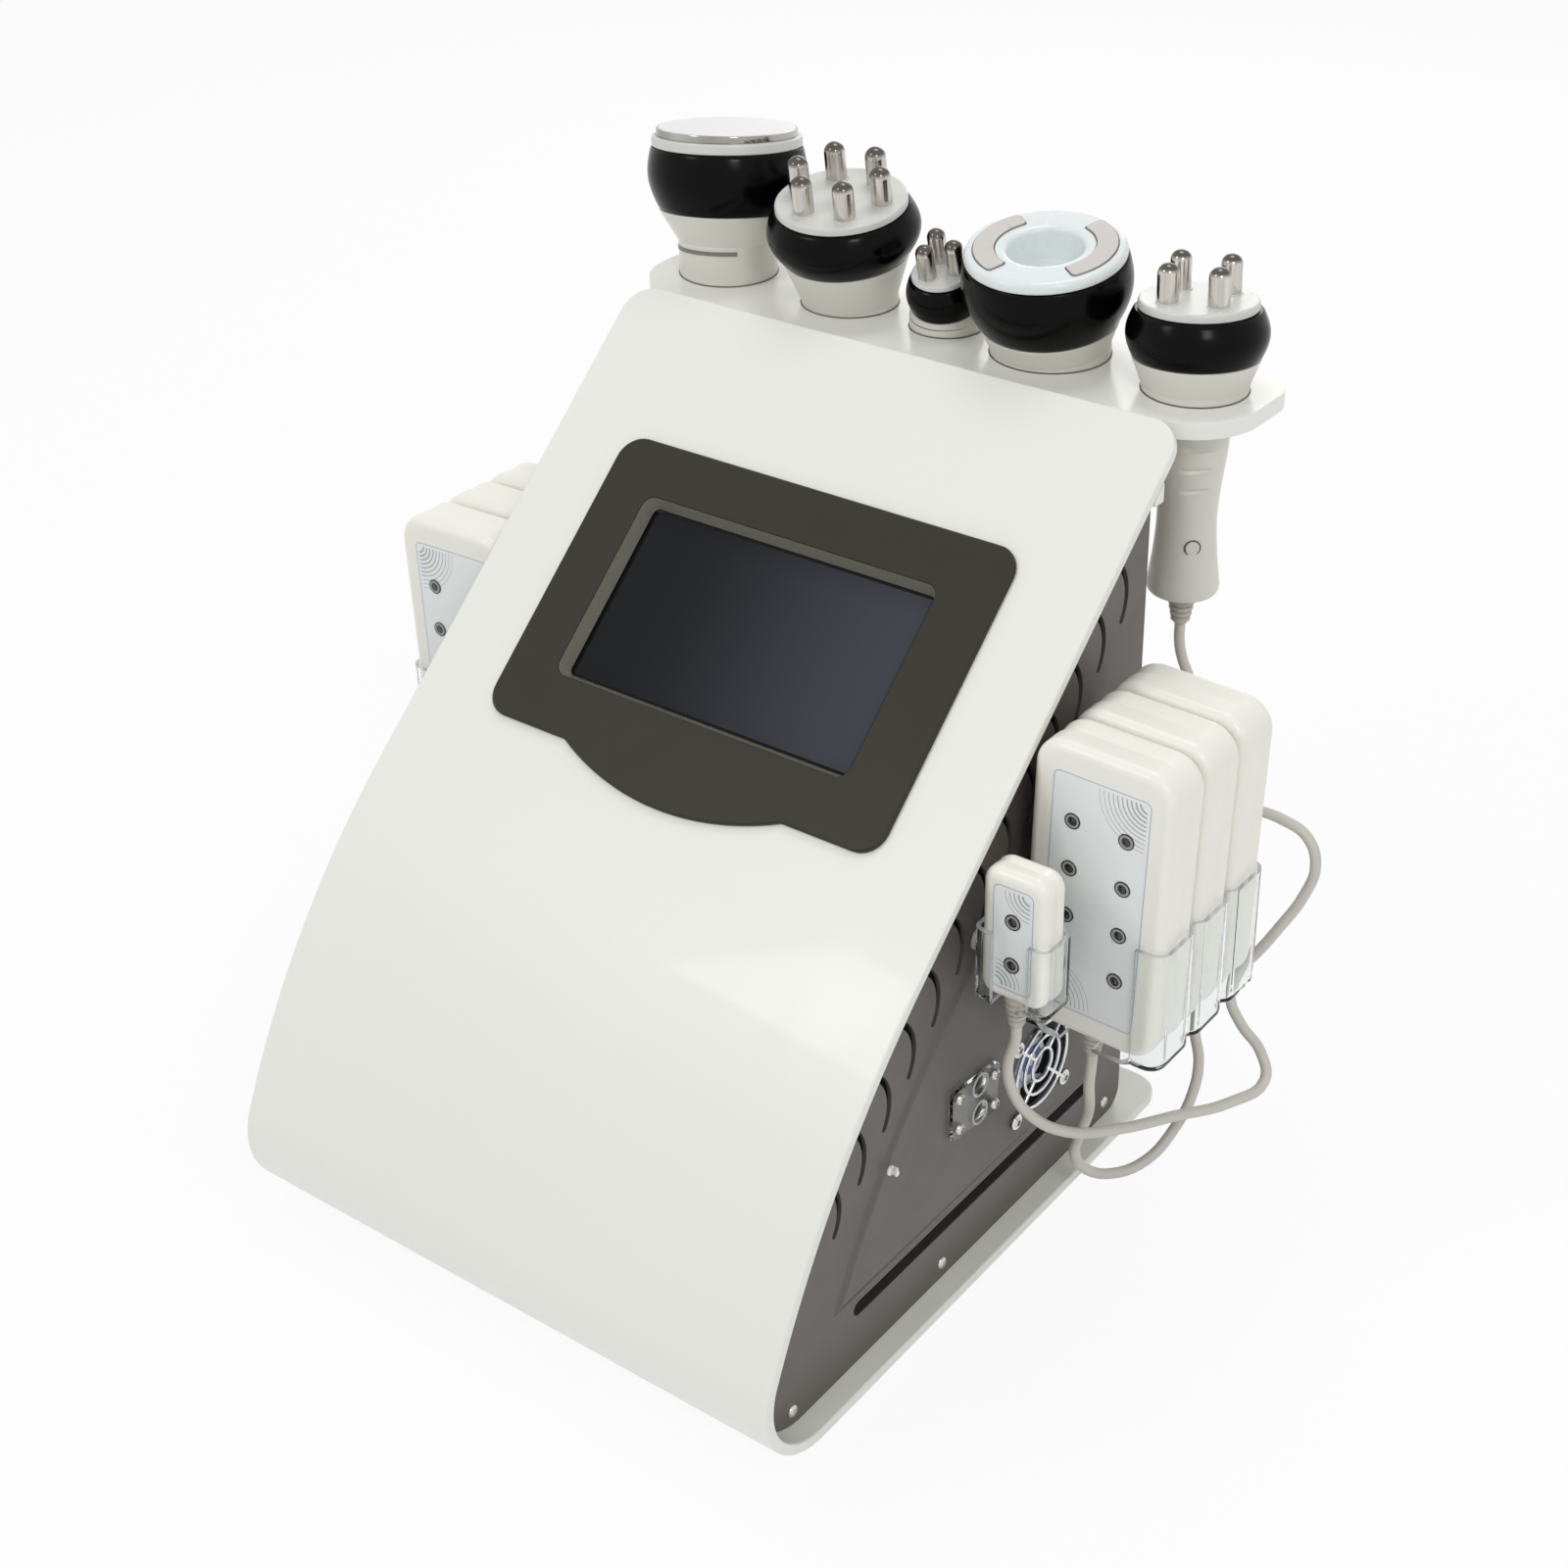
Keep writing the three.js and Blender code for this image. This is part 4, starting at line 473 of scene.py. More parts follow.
handle_grey = finish("handle grey", srgb(221, 219, 210), 0.32, relief=0.02, grain_scale=1500,
                     variation=0.025, patch_scale=18)
plate_grey = finish("plate grey", srgb(214, 215, 210), 0.34, relief=0.012, grain_scale=1500,
                    variation=0.02, patch_scale=24)
vacuum_white = finish("vacuum face", srgb(229, 235, 235), 0.3, relief=0.01, grain_scale=1500,
                      variation=0.004, patch_scale=24, coat=0.15)
arc_grey = finish("arc grey", srgb(205, 200, 195), 0.38, relief=0.015, variation=0.03)
# Dark grey for thin lines in gaps and narrow channels between parts: painted shade
gap_shade = finish("painted gap shade", srgb(96, 95, 90), 0.5, relief=0.01)
# Near black for the panel's pressed channel: painted shade
groove_shade = finish("groove painted shade", srgb(18, 16, 15), 0.6, relief=0.02, specular=0.2)
bar_grey = finish("bar grey", srgb(120, 118, 110), 0.42, relief=0.01)
disc_steel = finish("disc steel", srgb(226, 227, 226), 0.34, metal=0.2, relief=0.001,
                    grain_scale=500, variation=0.02, patch_scale=40)
# The band's near-black colour with light patches is a painted reflection of dark and light surroundings
band_steel_painted_reflection = finish("band steel with painted reflections", srgb(30, 27, 24), 0.14, metal=1.0, relief=0.004,
                    tint=srgb(236, 232, 226), patch_scale=24)
cord_grey = finish("cord jacket", srgb(208, 205, 196), 0.44, relief=0.03, grain_scale=1800,
                   variation=0.03, patch_scale=30)
relief_grey = finish("relief grey", srgb(192, 189, 179), 0.46, relief=0.03, grain_scale=1600,
                     variation=0.04, patch_scale=40)
rotor_white = finish("rotor white", srgb(222, 230, 240), 0.34, relief=0.01, variation=0.03)
rotor_blue = finish("rotor blue", srgb(40, 86, 180), 0.3, relief=0.01, variation=0.08)
foot_rubber = finish("foot rubber", srgb(44, 43, 42), 0.7, relief=0.08, grain_scale=1200)
solder_mask = finish("solder mask", srgb(34, 92, 58), 0.36, relief=0.05, grain_scale=700,
                     variation=0.2, patch_scale=120)
# Faint upright draw lines
clear_acrylic = finish("clear acrylic", srgb(247, 249, 249), 0.03, relief=0.02, grain_scale=160,
                       variation=0.008, marks=0.03, stretch=(1, 1, 60), coat=0.35,
                       Transmission_Weight=1.0, IOR=1.16)
acrylic_edge = finish("acrylic edge", srgb(206, 211, 212), 0.18, relief=0.01, variation=0.04,
                      patch_scale=60, coat=0.3, Alpha=0.72)


def make_pole_steel(name, turn):
    """Polished steel: fine lengthwise lines, partly brushing and partly painted reflection, and a
    painted dark reflection on its dome
    """
    # The strong lengthwise light and dark lines in the colour are partly brushing and partly painted
    # reflection
    made = finish(f"pole steel {name}", srgb(206, 201, 195), 0.2, metal=1.0, relief=0.012,
                  grain_scale=1100, patch_scale=520, variation=0.4, marks=0.12,
                  stretch=(1, 1, 90), turn=turn)
    tree = made.node_tree
    shader = tree.nodes["Principled BSDF"]
    brushing_and_painted_reflection = shader.inputs["Base Color"].links[0].from_socket
    along = add(tree, "VectorMath", {0: add(tree, "TexCoord").outputs["Normal"],
                                     1: turn.to_matrix() @ Vector((0, 0, 1))},
                operation="DOT_PRODUCT")
    # Faces turned along the pole's axis are painted darker: a painted dark reflection on the dome
    dome = add(tree, "MapRange", {"Value": along.outputs["Value"], "From Min": 0.12,
                                  "From Max": 0.6}, interpolation_type="SMOOTHSTEP")
    painted_dark_dome_reflection = mixed(tree, dome.outputs["Result"], brushing_and_painted_reflection, srgb(92, 88, 84))
    feed(tree, shader, {"Base Color": painted_dark_dome_reflection})
    return made


def make_screen():
    """Switched-off display glass: dark, with a painted reflection that lightens it to the right, inside
    a black border
    """
    made = finish("screen glass", srgb(20, 22, 30), 0.07, relief=0.002, grain_scale=600, marks=0.02,
                  specular=0.14)
    tree = made.node_tree
    lay = add(tree, "Mapping", {"Vector": add(tree, "TexCoord").outputs["Object"],
                                "Location": to_row @ slanted_face @ Vector((*display_middle, -5)),
                                "Rotation": (face_slope, 0, 0)}, vector_type="TEXTURE")
    axes = add(tree, "SeparateXYZ", {0: lay.outputs["Vector"]})
    # Painted reflection: the glass colour grows lighter towards its right
    reflection_fade = add(tree, "MapRange", {"Value": axes.outputs["X"], "From Min": -0.06,
                                  "From Max": 0.09}, interpolation_type="SMOOTHSTEP")
    painted_reflection_gradient = mixed(tree, reflection_fade.outputs["Result"], srgb(20, 21, 26), srgb(66, 68, 77))
    beyond = []
    for axis, half in (("X", 0.0762), ("Y", 0.0418)):
        away = add(tree, "Math", {0: axes.outputs[axis]}, operation="ABSOLUTE")
        beyond.append(add(tree, "Math", {0: away.outputs[0], 1: half},
                          operation="GREATER_THAN").outputs[0])
    bordered = mixed(tree, most(tree, *beyond), painted_reflection_gradient, srgb(5, 5, 6))
    feed(tree, tree.nodes["Principled BSDF"], {"Base Color": bordered})
    return made


# Cords: from the handpiece or pad, over to a coil behind the housing, up to the rear panel
cord_radius = 2.5
on_floor = feet_low + cord_radius + 0.15
coil_inner, coil_pitch = 20.5, 5.7
plug_seat_y, plug_length = rear_y + 5.3, 26
handle_end = shelf_top - handle_length - handle_relief
big_rest = (big_holder["floor"] + holder_wall + 0.3
            + (big_size["width"] / 2 - big_size["corner"]) * sin(pad_lean))
small_rest = small_holder["floor"] + holder_wall + 0.3
cord_specs = {
    "quad_pole": dict(
        turns=4.5, centre=(50, 342), plug=(100, 205), start=(129.4, handpiece_row_y, handle_end),
        route=[(129.6, 330, 234), (131, 331, 225), (134.6, 333, 214), (137, 337, 200),
               (136, 343, 184), (130, 350, 165), (121, 357, 143), (112, 363, 120), (105, 368, 97),
               (99, 372, 74), (94, 375, 52), (88, 377, 32), (79, 377.5, 15)],
        tail=[(71, 308.7, 7), (81, 309.5, 15), (88, 311, 29), (93, 314, 49), (96, 319, 74),
              (98, 325, 102), (99.5, 331, 130), (100, 335, 158), (100, 336, 178),
              (100, 332.5, 193), (100, 323, 202.5)],
        length=1.28),
    "small_pad": dict(
        turns=2.5, centre=(-96, 342), plug=(25, 158), start=(164.3, 142.55, small_rest - pad_relief),
        route=[(164, 142.6, 138), (160, 143.8, 124), (158.8, 147.4, 109), (164, 154.3, 91),
               (175.4, 169, 76.3), (189, 188, 71.5), (204.6, 212, 70.5), (220, 236, 70),
               (227.5, 252, 75), (221, 259, 84), (209, 262, 92), (200.5, 266, 102),
               (201.3, 271, 113.1), (206.9, 276, 122), (213.9, 281, 135), (222, 288, 153),
               (224.5, 291, 168), (218.4, 293, 179), (206.4, 293, 183.5), (192, 293, 184),
               (172, 297, 180), (150, 306, 171), (130, 321, 159), (113, 336, 146), (99, 346, 134),
               (80, 352, 121), (54, 356, 104), (26, 359, 86), (-4, 363, 66), (-30, 366, 46),
               (-52, 368.5, 27), (-70, 369.3, 11)],
        tail=[(-76, 314.4, 7), (-63, 315, 13), (-49, 317, 25), (-34, 321, 42), (-18, 326, 62),
              (-3, 331, 84), (9, 335, 106), (18, 337, 125), (23.5, 336, 140), (25, 331, 151)],
        length=1.302),
    "laser_pad": dict(
        turns=3.5, centre=(-24, 342), plug=(75, 158),
        start=(178 - pad_relief * sin(pad_lean), 184, big_rest - pad_relief),
        route=[(177.3, 184, 104.5), (175.8, 185.4, 93), (174.9, 187.8, 75.8), (168.8, 191.2, 56.6),
               (164, 196.6, 39.4), (165.8, 205, 26), (173.1, 215, 20.5), (182.3, 230, 22.5),
               (188.4, 245, 34.7), (190.5, 256, 48.4), (188.4, 264, 61), (181.7, 271, 71),
               (177, 279, 82), (170, 289, 92), (158, 300, 97), (141, 311, 95), (120, 322, 88),
               (96, 335, 79), (70, 347, 69), (48, 358, 57), (32, 366, 43), (20, 371.5, 27),
               (8, 373.5, 12)],
        tail=[(-4, 311.5, 7), (9, 312, 13), (22, 314, 25), (35, 318, 43), (47, 323, 63),
              (58, 328, 86), (67, 333, 108), (73, 336, 128), (75.5, 335, 142), (75, 330, 152)],
        length=1.239),
}


def coil_points(turns, centre):
    """Spirals in on the floor, climbs a layer where it reverses, spirals out"""
    growth = turns * coil_pitch / 2
    steps = int(14 * turns)
    line = []
    for k in range(steps + 1):
        part = k / steps
        radius = coil_inner + growth * abs(part - 0.5) * 2
        angle = pi / 2 + turns * 2 * pi * part
        climb = min(max((part - 0.5) * turns * 2 + 0.5, 0), 1)
        line.append(Vector((centre[0] + radius * cos(angle), centre[1] + radius * sin(angle),
                            on_floor + coil_pitch * climb)))

    def lead(end, next_one):
        along = end - next_one
        along.z = 0
        return end + along.normalized() * 5

    return [lead(line[0], line[1]), *line, lead(line[-1], line[-2])]


def make_cord(name, spec):
    coil = coil_points(spec["turns"], spec["centre"])
    inward = (coil[0] - coil[1]).normalized()
    away = (coil[-1] - coil[-2]).normalized()
    plug_x, plug_z = spec["plug"]
    tail_y = plug_seat_y + plug_length
    points = [spec["start"], *spec["route"], coil[0] + inward * 5.3, *coil,
              coil[-1] + away * 5.3, *spec["tail"],
              (plug_x, tail_y + 2.5, plug_z), (plug_x, tail_y - 6, plug_z)]
    line = bpy.data.curves.new(f"{name}_lead", "CURVE")
    line.dimensions = "3D"
    line.bevel_depth = cord_radius * 0.001
    line.bevel_resolution = 4
    line.resolution_u = 5
    line.use_fill_caps = True
    spline = line.splines.new("BEZIER")
    spline.bezier_points.add(len(points) - 1)
    for knot, point in zip(spline.bezier_points, points):
        knot.co = to_row @ Vector(point)
        knot.handle_left_type = knot.handle_right_type = "AUTO"
    line.materials.append(cord_grey)
    made = bpy.data.objects.new(f"{name}_lead", line)
    scene.collection.objects.link(made)
    placed(made, "housing", (f"{name}_cord", f"{name}_cord_coil"))

    body = [(0, 0), (5.2, 0), (6.4, 0.6), (6.6, 1.4), (6.6, 3.2), (6.1, 3.5), (6.1, 4.2), (6.6, 4.5)]
    body += [p for k in range(5) for p in
             ((6.6, 6 + 1.7 * k), (6.25, 6.3 + 1.7 * k), (6.25, 6.9 + 1.7 * k), (6.6, 7.2 + 1.7 * k))]
    body += [(6.6, 15.6), (6.0, 16.8), (4.8, 17.2)]
    ribs = [p for k in range(4) for p in
            ((4.5 - 0.25 * k, 17.6 + 2.1 * k), (4.5 - 0.25 * k, 18.8 + 2.1 * k),
             (3.7 - 0.2 * k, 19.0 + 2.1 * k), (3.7 - 0.2 * k, 19.5 + 2.1 * k))]
    toward_rear = posed((plug_x, plug_seat_y, plug_z), -pi / 2)
    shell = moved(turned([*body, (0, 17.2)], 40), toward_rear)
    tail = moved(turned([(0, 17), (4.5, 17), *ribs, (3.2, 26), (0, 26)], 32), toward_rear)
    plug = piece(f"{name}_plug", [(shell, black_plastic), (tail, relief_grey)], "housing",
                 (f"{name}_cord_plug",))


for cord_name, cord_spec in cord_specs.items():
    make_cord(cord_name, cord_spec)


# Housing sheet: one bent line drawn out across the width, with its opening and round corners
def make_housing():
    edge = [(base_rear_y, 0), *arc(nose_centre, nose_radius, -pi / 2, nose_heading - 1.5 * pi, 30),
            *arc(front_centre, front_radius, pi / 2 + nose_heading, pi / 2 + face_slope, 26)[1:],
            (face_top_y, face_top_z)]
    made = bmesh.new()
    line = [made.verts.new((-shell_half, y, z)) for y, z in edge]
    rims = [made.edges.new(pair) for pair in zip(line, line[1:])]
    drawn = bmesh.ops.extrude_edge_only(made, edges=rims)["geom"]
    bmesh.ops.translate(made, verts=verts_in(drawn), vec=(2 * shell_half, 0, 0))

    def cut(place, normal):
        tilted = [f for f in made.faces if f.calc_center_median().y > face_foot[0] + 5
                  and f.calc_center_median().z > 150]
        around = {part for f in tilted for part in (f, *f.edges, *f.verts)}
        bmesh.ops.bisect_plane(made, geom=list(around), plane_co=place, plane_no=normal)

    for x in (display_middle[0] - window_half[0], display_middle[0] + window_half[0]):
        cut((x, 0, 0), (1, 0, 0))
    for y in (display_middle[1] - window_half[1], display_middle[1] + window_half[1]):
        cut(slanted_face @ Vector((0, y, 0)), slanted_face.to_3x3() @ Vector((0, 1, 0)))
    middle = slanted_face @ Vector((*display_middle, 0))
    window = min(made.faces, key=lambda f: (f.calc_center_median() - middle).length)
    bmesh.ops.delete(made, geom=[window], context="FACES_ONLY")
    for y, z, radius in ((face_top_y, face_top_z, 15), (base_rear_y, 0, 14)):
        corners = [v for v in made.verts if abs(abs(v.co.x) - shell_half) < 0.01
                   and hypot(v.co.y - y, v.co.z - z) < 0.01]
        rounded_off(made, corners, radius, 10, affect="VERTICES")
    bmesh.ops.recalc_face_normals(made, faces=made.faces)
    top_face = max(made.faces, key=lambda f: f.calc_center_median().z)
    if top_face.normal.z < 0:
        bmesh.ops.reverse_faces(made, faces=made.faces)
    return made


housing = piece("housing_sheet", [(make_housing(), white_coat)], "housing",
                ("front_shell",))
walled(housing, sheet_thickness, even=True)
rim = housing.modifiers.new("rim", "BEVEL")
rim.width = 0.0009
rim.segments = 3
rim.limit_method = "ANGLE"
rim.angle_limit = radians(40)
rim.harden_normals = True
housing.modifiers.move(housing.modifiers.find("rim"), 1)
feet = [moved(turned([(0, 0.2), (9, 0.2), (10, -1), (9.6, -3.2), (8.8, feet_low), (4, feet_low),
                      (3.4, -2.6), (0, -2.6)], 32), (x, y, 0)) for x in (-118, 118) for y in (47, 272)]
piece("rubber_feet", [(several(*feet), foot_rubber)], "housing")


# Side panels: pressed sheet with curved vents, a groove and a raised field
def vent(step):
    middle = (29.9 + 17.5 * step, 97 + 16 * step)
    radius, half = 22, 1.6
    start, end = radians(-32.5), radians(52)

    def cap(angle, turn):
        tip = (middle[0] + radius * cos(angle), middle[1] + radius * sin(angle))
        return arc(tip, half, angle + turn, angle + turn + pi, 6)[1:-1]

    return [*arc(middle, radius + half, start, end, 12), *cap(end, 0),
            *arc(middle, radius - half, end, start, 12), *cap(start, pi)]


def panel_outline():
    inset = 5.3
    top = face_height(262.3, inset)
    return [*arc((269, 15.3), 10, 0, -pi / 2, 8),
            *arc(nose_centre, nose_radius - inset, -pi / 2, nose_heading - 1.5 * pi, 24),
            *arc(front_centre, front_radius - inset, pi / 2 + nose_heading, pi / 2 + face_slope,
                 24)[1:],
            (262.3, top), (262.3, 331.73), (rear_y, 331.73)]


def field_outline():
    inset = 54
    foot = front_centre[0] - (front_radius - inset) * sin(nose_heading - radians(2))
    top = face_height(208.3, inset)
    return [*arc((261, 50), 9, 0, -pi / 2, 8), (foot, 41),
            *arc(front_centre, front_radius - inset, pi / 2 + nose_heading - radians(3),
                 pi / 2 + face_slope, 20), (208.3, top), (270, top)]


def pressed(outline, steps, holes=()):
    """An area pressed in or out of a sheet: each step is (width, height)"""
    made = bmesh.new()
    middle = made.faces.new([made.verts.new((x, y, 0)) for x, y in outline])
    made.normal_update()
    if middle.normal.z < 0:
        middle.normal_flip()
    for width, height in steps:
        bmesh.ops.inset_region(made, faces=[middle], thickness=width, depth=height,
                               use_even_offset=True, use_boundary=True)
    if holes:
        level = middle.verts[0].co.z
        rims = middle.edges[:]
        bmesh.ops.delete(made, geom=[middle], context="FACES_ONLY")
        for loop in holes:
            rims += closed_loop(made, loop, level)
        bmesh.ops.triangle_fill(made, edges=rims, use_beauty=True)
    return made


def make_panel(with_fan):
    near, far = groove_ends
    groove = [*arc((far, groove_z), 4.2, -pi / 2, pi / 2, 10),
              *arc((near, groove_z), 4.2, pi / 2, 1.5 * pi, 10)]
    sheet = flat(panel_outline(), [*(vent(k) for k in range(13)), groove, field_outline()])
    lip = [(0.7, 0.1), (0.7, 0.25), (0.8, 0.4), (0.8, 0.4), (0.7, 0.25), (0.7, 0.1)]
    openings = [circle(*fan_place, 22.3, 48), *(circle(*hole, 3.4, 20) for hole in cover_holes)]
    field = pressed(field_outline(), lip, openings if with_fan else ())
    channel = pressed(groove, [(0.6, -0.15), (0.7, -0.6), (0.7, -0.9), (0.6, -0.7), (0.5, -0.2)])
    made = several(sheet, field, channel)
    bmesh.ops.remove_doubles(made, verts=made.verts, dist=0.01)
    bmesh.ops.recalc_face_normals(made, faces=made.faces)
    looking(made, (0, 0, 1))
    return moved(made, side_view, (0, 0, panel_x))


def screw(radius, height):
    """A domed screw head with a round recess, along Z"""
    return turned([(0, 0), (radius, 0), (radius, 0.25), (radius * 0.92, height * 0.62),
                   (radius * 0.66, height * 0.95), (radius * 0.5, height),
                   (radius * 0.45, height * 0.5), (0, height * 0.5)], 24)


def in_groove(place):
    spot = to_row.inverted() @ place
    return (abs(spot.z - groove_z) < 3.4 and groove_ends[0] - 3 < spot.y < groove_ends[1] + 3
            and abs(spot.x) < panel_x - 0.4)


for side_name, side in (("right", 1), ("left", -1)):
    hand = [mirrored] if side < 0 else []
    panel = piece(f"side_sheet_{side_name}",
                  [(moved(make_panel(side > 0), *hand), grey_coat)], "housing",
                  (f"side_panel_{side_name}",), smooth=30)
    # The channel's faces are painted near black: painted shade in the pressed channel
    second_finish(panel, groove_shade, in_groove)
    walled(panel, panel_wall)
    on_panel = [*hand, side_view]
    # A black sheet behind the vents is painted shade: it stands in for the dark inside the housing
    vent_shade = plate(panel_outline(), -3.0, -2.5, [field_outline()])
    piece(f"vent_shade_sheet_{side_name}", [(moved(vent_shade, *on_panel, (0, 0, panel_x)), vent_shade_black)],
          "housing")
    heads = [moved(screw(2.9, 1.3), *on_panel, (y, 13.5, panel_x)) for y in (18, 127, 265)]
    piece(f"panel_screws_{side_name}", [(several(*heads), screw_steel)], "housing")

nub = [moved(shape, side_view, (85.3, 95.2, panel_face)) for shape in (
    rod(2.3, -0.2, 0.9, 20, 0.2), rod(1.3, 0.5, 4.2, 16, 0.4),
    block((1.2, 4.6, 1.6), (0, 0.6, 3.2), 0.3))]
piece("panel_snap", [(several(*nub), cream)], "housing")


# Rear plate with its vents, cut-outs and sockets
def make_socket(x, z):
    outward = posed((x, rear_y, z), -pi / 2)
    shell = turned([(6.5, -10), (8.5, -10), (8.5, -0.1), (9.6, 0), (9.6, 1.1), (9.1, 1.5), (8.5, 1.5),
                    (8.5, 4.4), (8.1, 5), (6.9, 5), (6.5, 4.6), (6.5, -10)], 40)
    nut = turned([(8.4, 1.5), (9.4, 1.5), (9.4, 2.9), (8.4, 2.9), (8.4, 1.5)], 6)
    insert = turned([(0, -9), (6.5, -9), (6.5, 2.4), (5.8, 2.6), (0, 2.6)], 32)
    pins = [moved(rod(0.6, 2.4, 4.4, 10, 0.2), (*at, 0)) for at in circle(0, 0, 3.6, 5)]
    return [moved(shape, outward) for shape in (several(shell, nut), insert, several(*pins))]


vents = [round_box(-70, 262 + 9 * k - 2, 70, 262 + 9 * k + 2, 2, 5) for k in range(5)]
cuts = [round_box(-109.3, 33.7, -80.7, 56.3, 0.8, 2), round_box(-64.4, 32.6, -45.6, 57.4, 0.8, 2)]
rear = moved(plate([(-136.7, 5.3), (136.7, 5.3), (136.7, 338.7), (-136.7, 338.7)],
                   -rear_y, panel_wall - rear_y, [*vents, *cuts], 0.25), front_view)
sockets = [make_socket(x, z) for x, z in (*((x, 205) for x in (-100, -50, 0, 50, 100)),
                                          *((x, 158) for x in (-75, -25, 25, 75)))]
rims, inserts, contacts = (several(*shapes) for shapes in zip(*sockets))
piece("rear_plate", [(rear, rear_coat), (rims, socket_metal), (inserts, black_plastic),
                     (contacts, contact_gold)], "housing", ("rear_panel",))
heads = [moved(screw(2.6, 1.2), posed((x, rear_y, z), -pi / 2)) for x in (-128, 128)
         for z in (14, 170, 322)]
piece("rear_screws", [(several(*heads), screw_steel)], "housing")


# Shelf with the handpieces' places: distances above it, angles, radii; poles are (count, radius of
# their row, own radius, height, first angle)
specs = [
    dict(name="cavitation", x=-0.785, hole=23, handle=17.5, tilt=-8.9, turn=31, elbow=15,
         collar_top=31.3, collar=33.2, grip_top=60.7, grip=38.2, neck=36.6, top=66, plate=36.2),
    dict(name="six_pole", x=-0.34, hole=22.2, handle=17.5, tilt=9.5, turn=8, elbow=3.2,
         collar_top=25.8, collar=30.2, grip_top=49.3, grip=36.1, neck=32, top=53.5, plate=31,
         poles=(6, 20.8, 5, 18, 0.05)),
    dict(name="tri_pole", x=-0.004, hole=16.5, handle=12.5, tilt=17, turn=10, elbow=6,
         collar_top=11, collar=16, grip_top=27, grip=17.5, neck=15, top=30, plate=14,
         poles=(3, 7.6, 4.3, 17, 0)),
    dict(name="vacuum", x=0.338, hole=26.5, handle=17.5, tilt=9.6, turn=4.5, elbow=4.2,
         collar_top=17, collar=31.8, grip_top=47.3, grip=37.9, neck=36.7, top=52.7, plate=36.3),
    dict(name="quad_pole", x=0.789, hole=22.7, handle=17.5, tilt=-4, turn=42, elbow=2,
         collar_top=15, collar=28.3, grip_top=36, grip=31.2, neck=27.8, top=40.3, plate=26.2,
         poles=(4, 15.7, 4.75, 17.3, 0.32)),
]
shelf_line = [*arc((shelf_half - 34, 324), 34, -pi / 2, 0, 14),
              *arc((shelf_half - 16, 344), 16, 0, pi / 2, 10),
              *arc((16 - shelf_half, 344), 16, pi / 2, pi, 10),
              *arc((34 - shelf_half, 324), 34, pi, 1.5 * pi, 14)]
shelf_holes = [circle(spec["x"] * shelf_half, handpiece_row_y, spec["hole"], 56) for spec in specs]
# Thin dark rings round the holes are painted shade in the gap where each handle sits
seat_gap_shade = [moved(ring(spec["hole"] + 1.1, 0.3, 64, 8),
                    (spec["x"] * shelf_half, handpiece_row_y, shelf_top)) for spec in specs]
piece("shelf_plate", [(plate(shelf_line, shelf_top - 8, shelf_top, shelf_holes, 1.1), shelf_coat),
                      (several(*seat_gap_shade), gap_shade)], "housing", ("handpiece_shelf",))


# Display surround: a flat face with a bulge below, a tapered recess down to the glass
def make_surround():
    half, top, low, radius = 108.5, -74.4, -218.9, 12
    bulge_half, bulge_deep = 60, 14
    bulge = (bulge_half ** 2 + bulge_deep ** 2) / (2 * bulge_deep)
    swing = asin(bulge_half / bulge)
    right = half - radius
    outline = [*arc((right, top - radius), radius, 0, pi / 2, 8),
               *arc((-right, top - radius), radius, pi / 2, pi, 8),
               *arc((-right, low + radius), radius, pi, 1.5 * pi, 8),
               *arc((0, low - bulge_deep + bulge), bulge, -pi / 2 - swing, -pi / 2 + swing, 24),
               *arc((right, low + radius), radius, -pi / 2, 0, 8)]
    cx, cy = display_middle

    def mouth(inset, corner):
        wide, high = 80.5 - inset, 46 - inset
        return round_box(cx - wide, cy - high, cx + wide, cy + high, corner, 5)

    face_z, rim_z, glass_z, shrink = 2.3, 0.3, -4.7, 0.7
    inner = [(x * (1 - shrink / half), (y - cy) * (1 - shrink / 72) + cy) for x, y in outline]
    frame_line = mouth(-3, 3)
    made = bmesh.new()
    loops = {key: closed_loop(made, points, z) for key, points, z in (
        ("out low", outline, rim_z), ("out high", outline, face_z - shrink), ("face", inner, face_z),
        ("mouth", mouth(-0.4, 6.2), face_z), ("mouth edge", mouth(0, 5.8), face_z - 0.5),
        ("throat", mouth(2.7, 3.1), glass_z), ("frame low", frame_line, glass_z),
        ("frame high", frame_line, rim_z))}
    for a, b in (("out low", "out high"), ("out high", "face"), ("mouth", "mouth edge"),
                 ("mouth edge", "throat"), ("frame low", "frame high")):
        bmesh.ops.bridge_loops(made, edges=loops[a] + loops[b])
    for a, b in (("face", "mouth"), ("throat", "frame low"), ("frame high", "out low")):
        bmesh.ops.triangle_fill(made, edges=loops[a] + loops[b], use_beauty=True)
    bmesh.ops.recalc_face_normals(made, faces=made.faces)
    return moved(made, slanted_face)


def in_recess(place):
    spot = (to_row @ slanted_face).inverted() @ place
    return (-4.5 < spot.z < 1.7 and abs(spot.x - display_middle[0]) < 81
            and abs(spot.y - display_middle[1]) < 46.2)


surround = piece("display_surround", [(make_surround(), dark_bezel)], "housing",
                 ("screen_bezel",), smooth=32)
# The recess walls are painted a lighter grey than the bezel: painted light on the walls
second_finish(surround, recess_painted_light, in_recess)


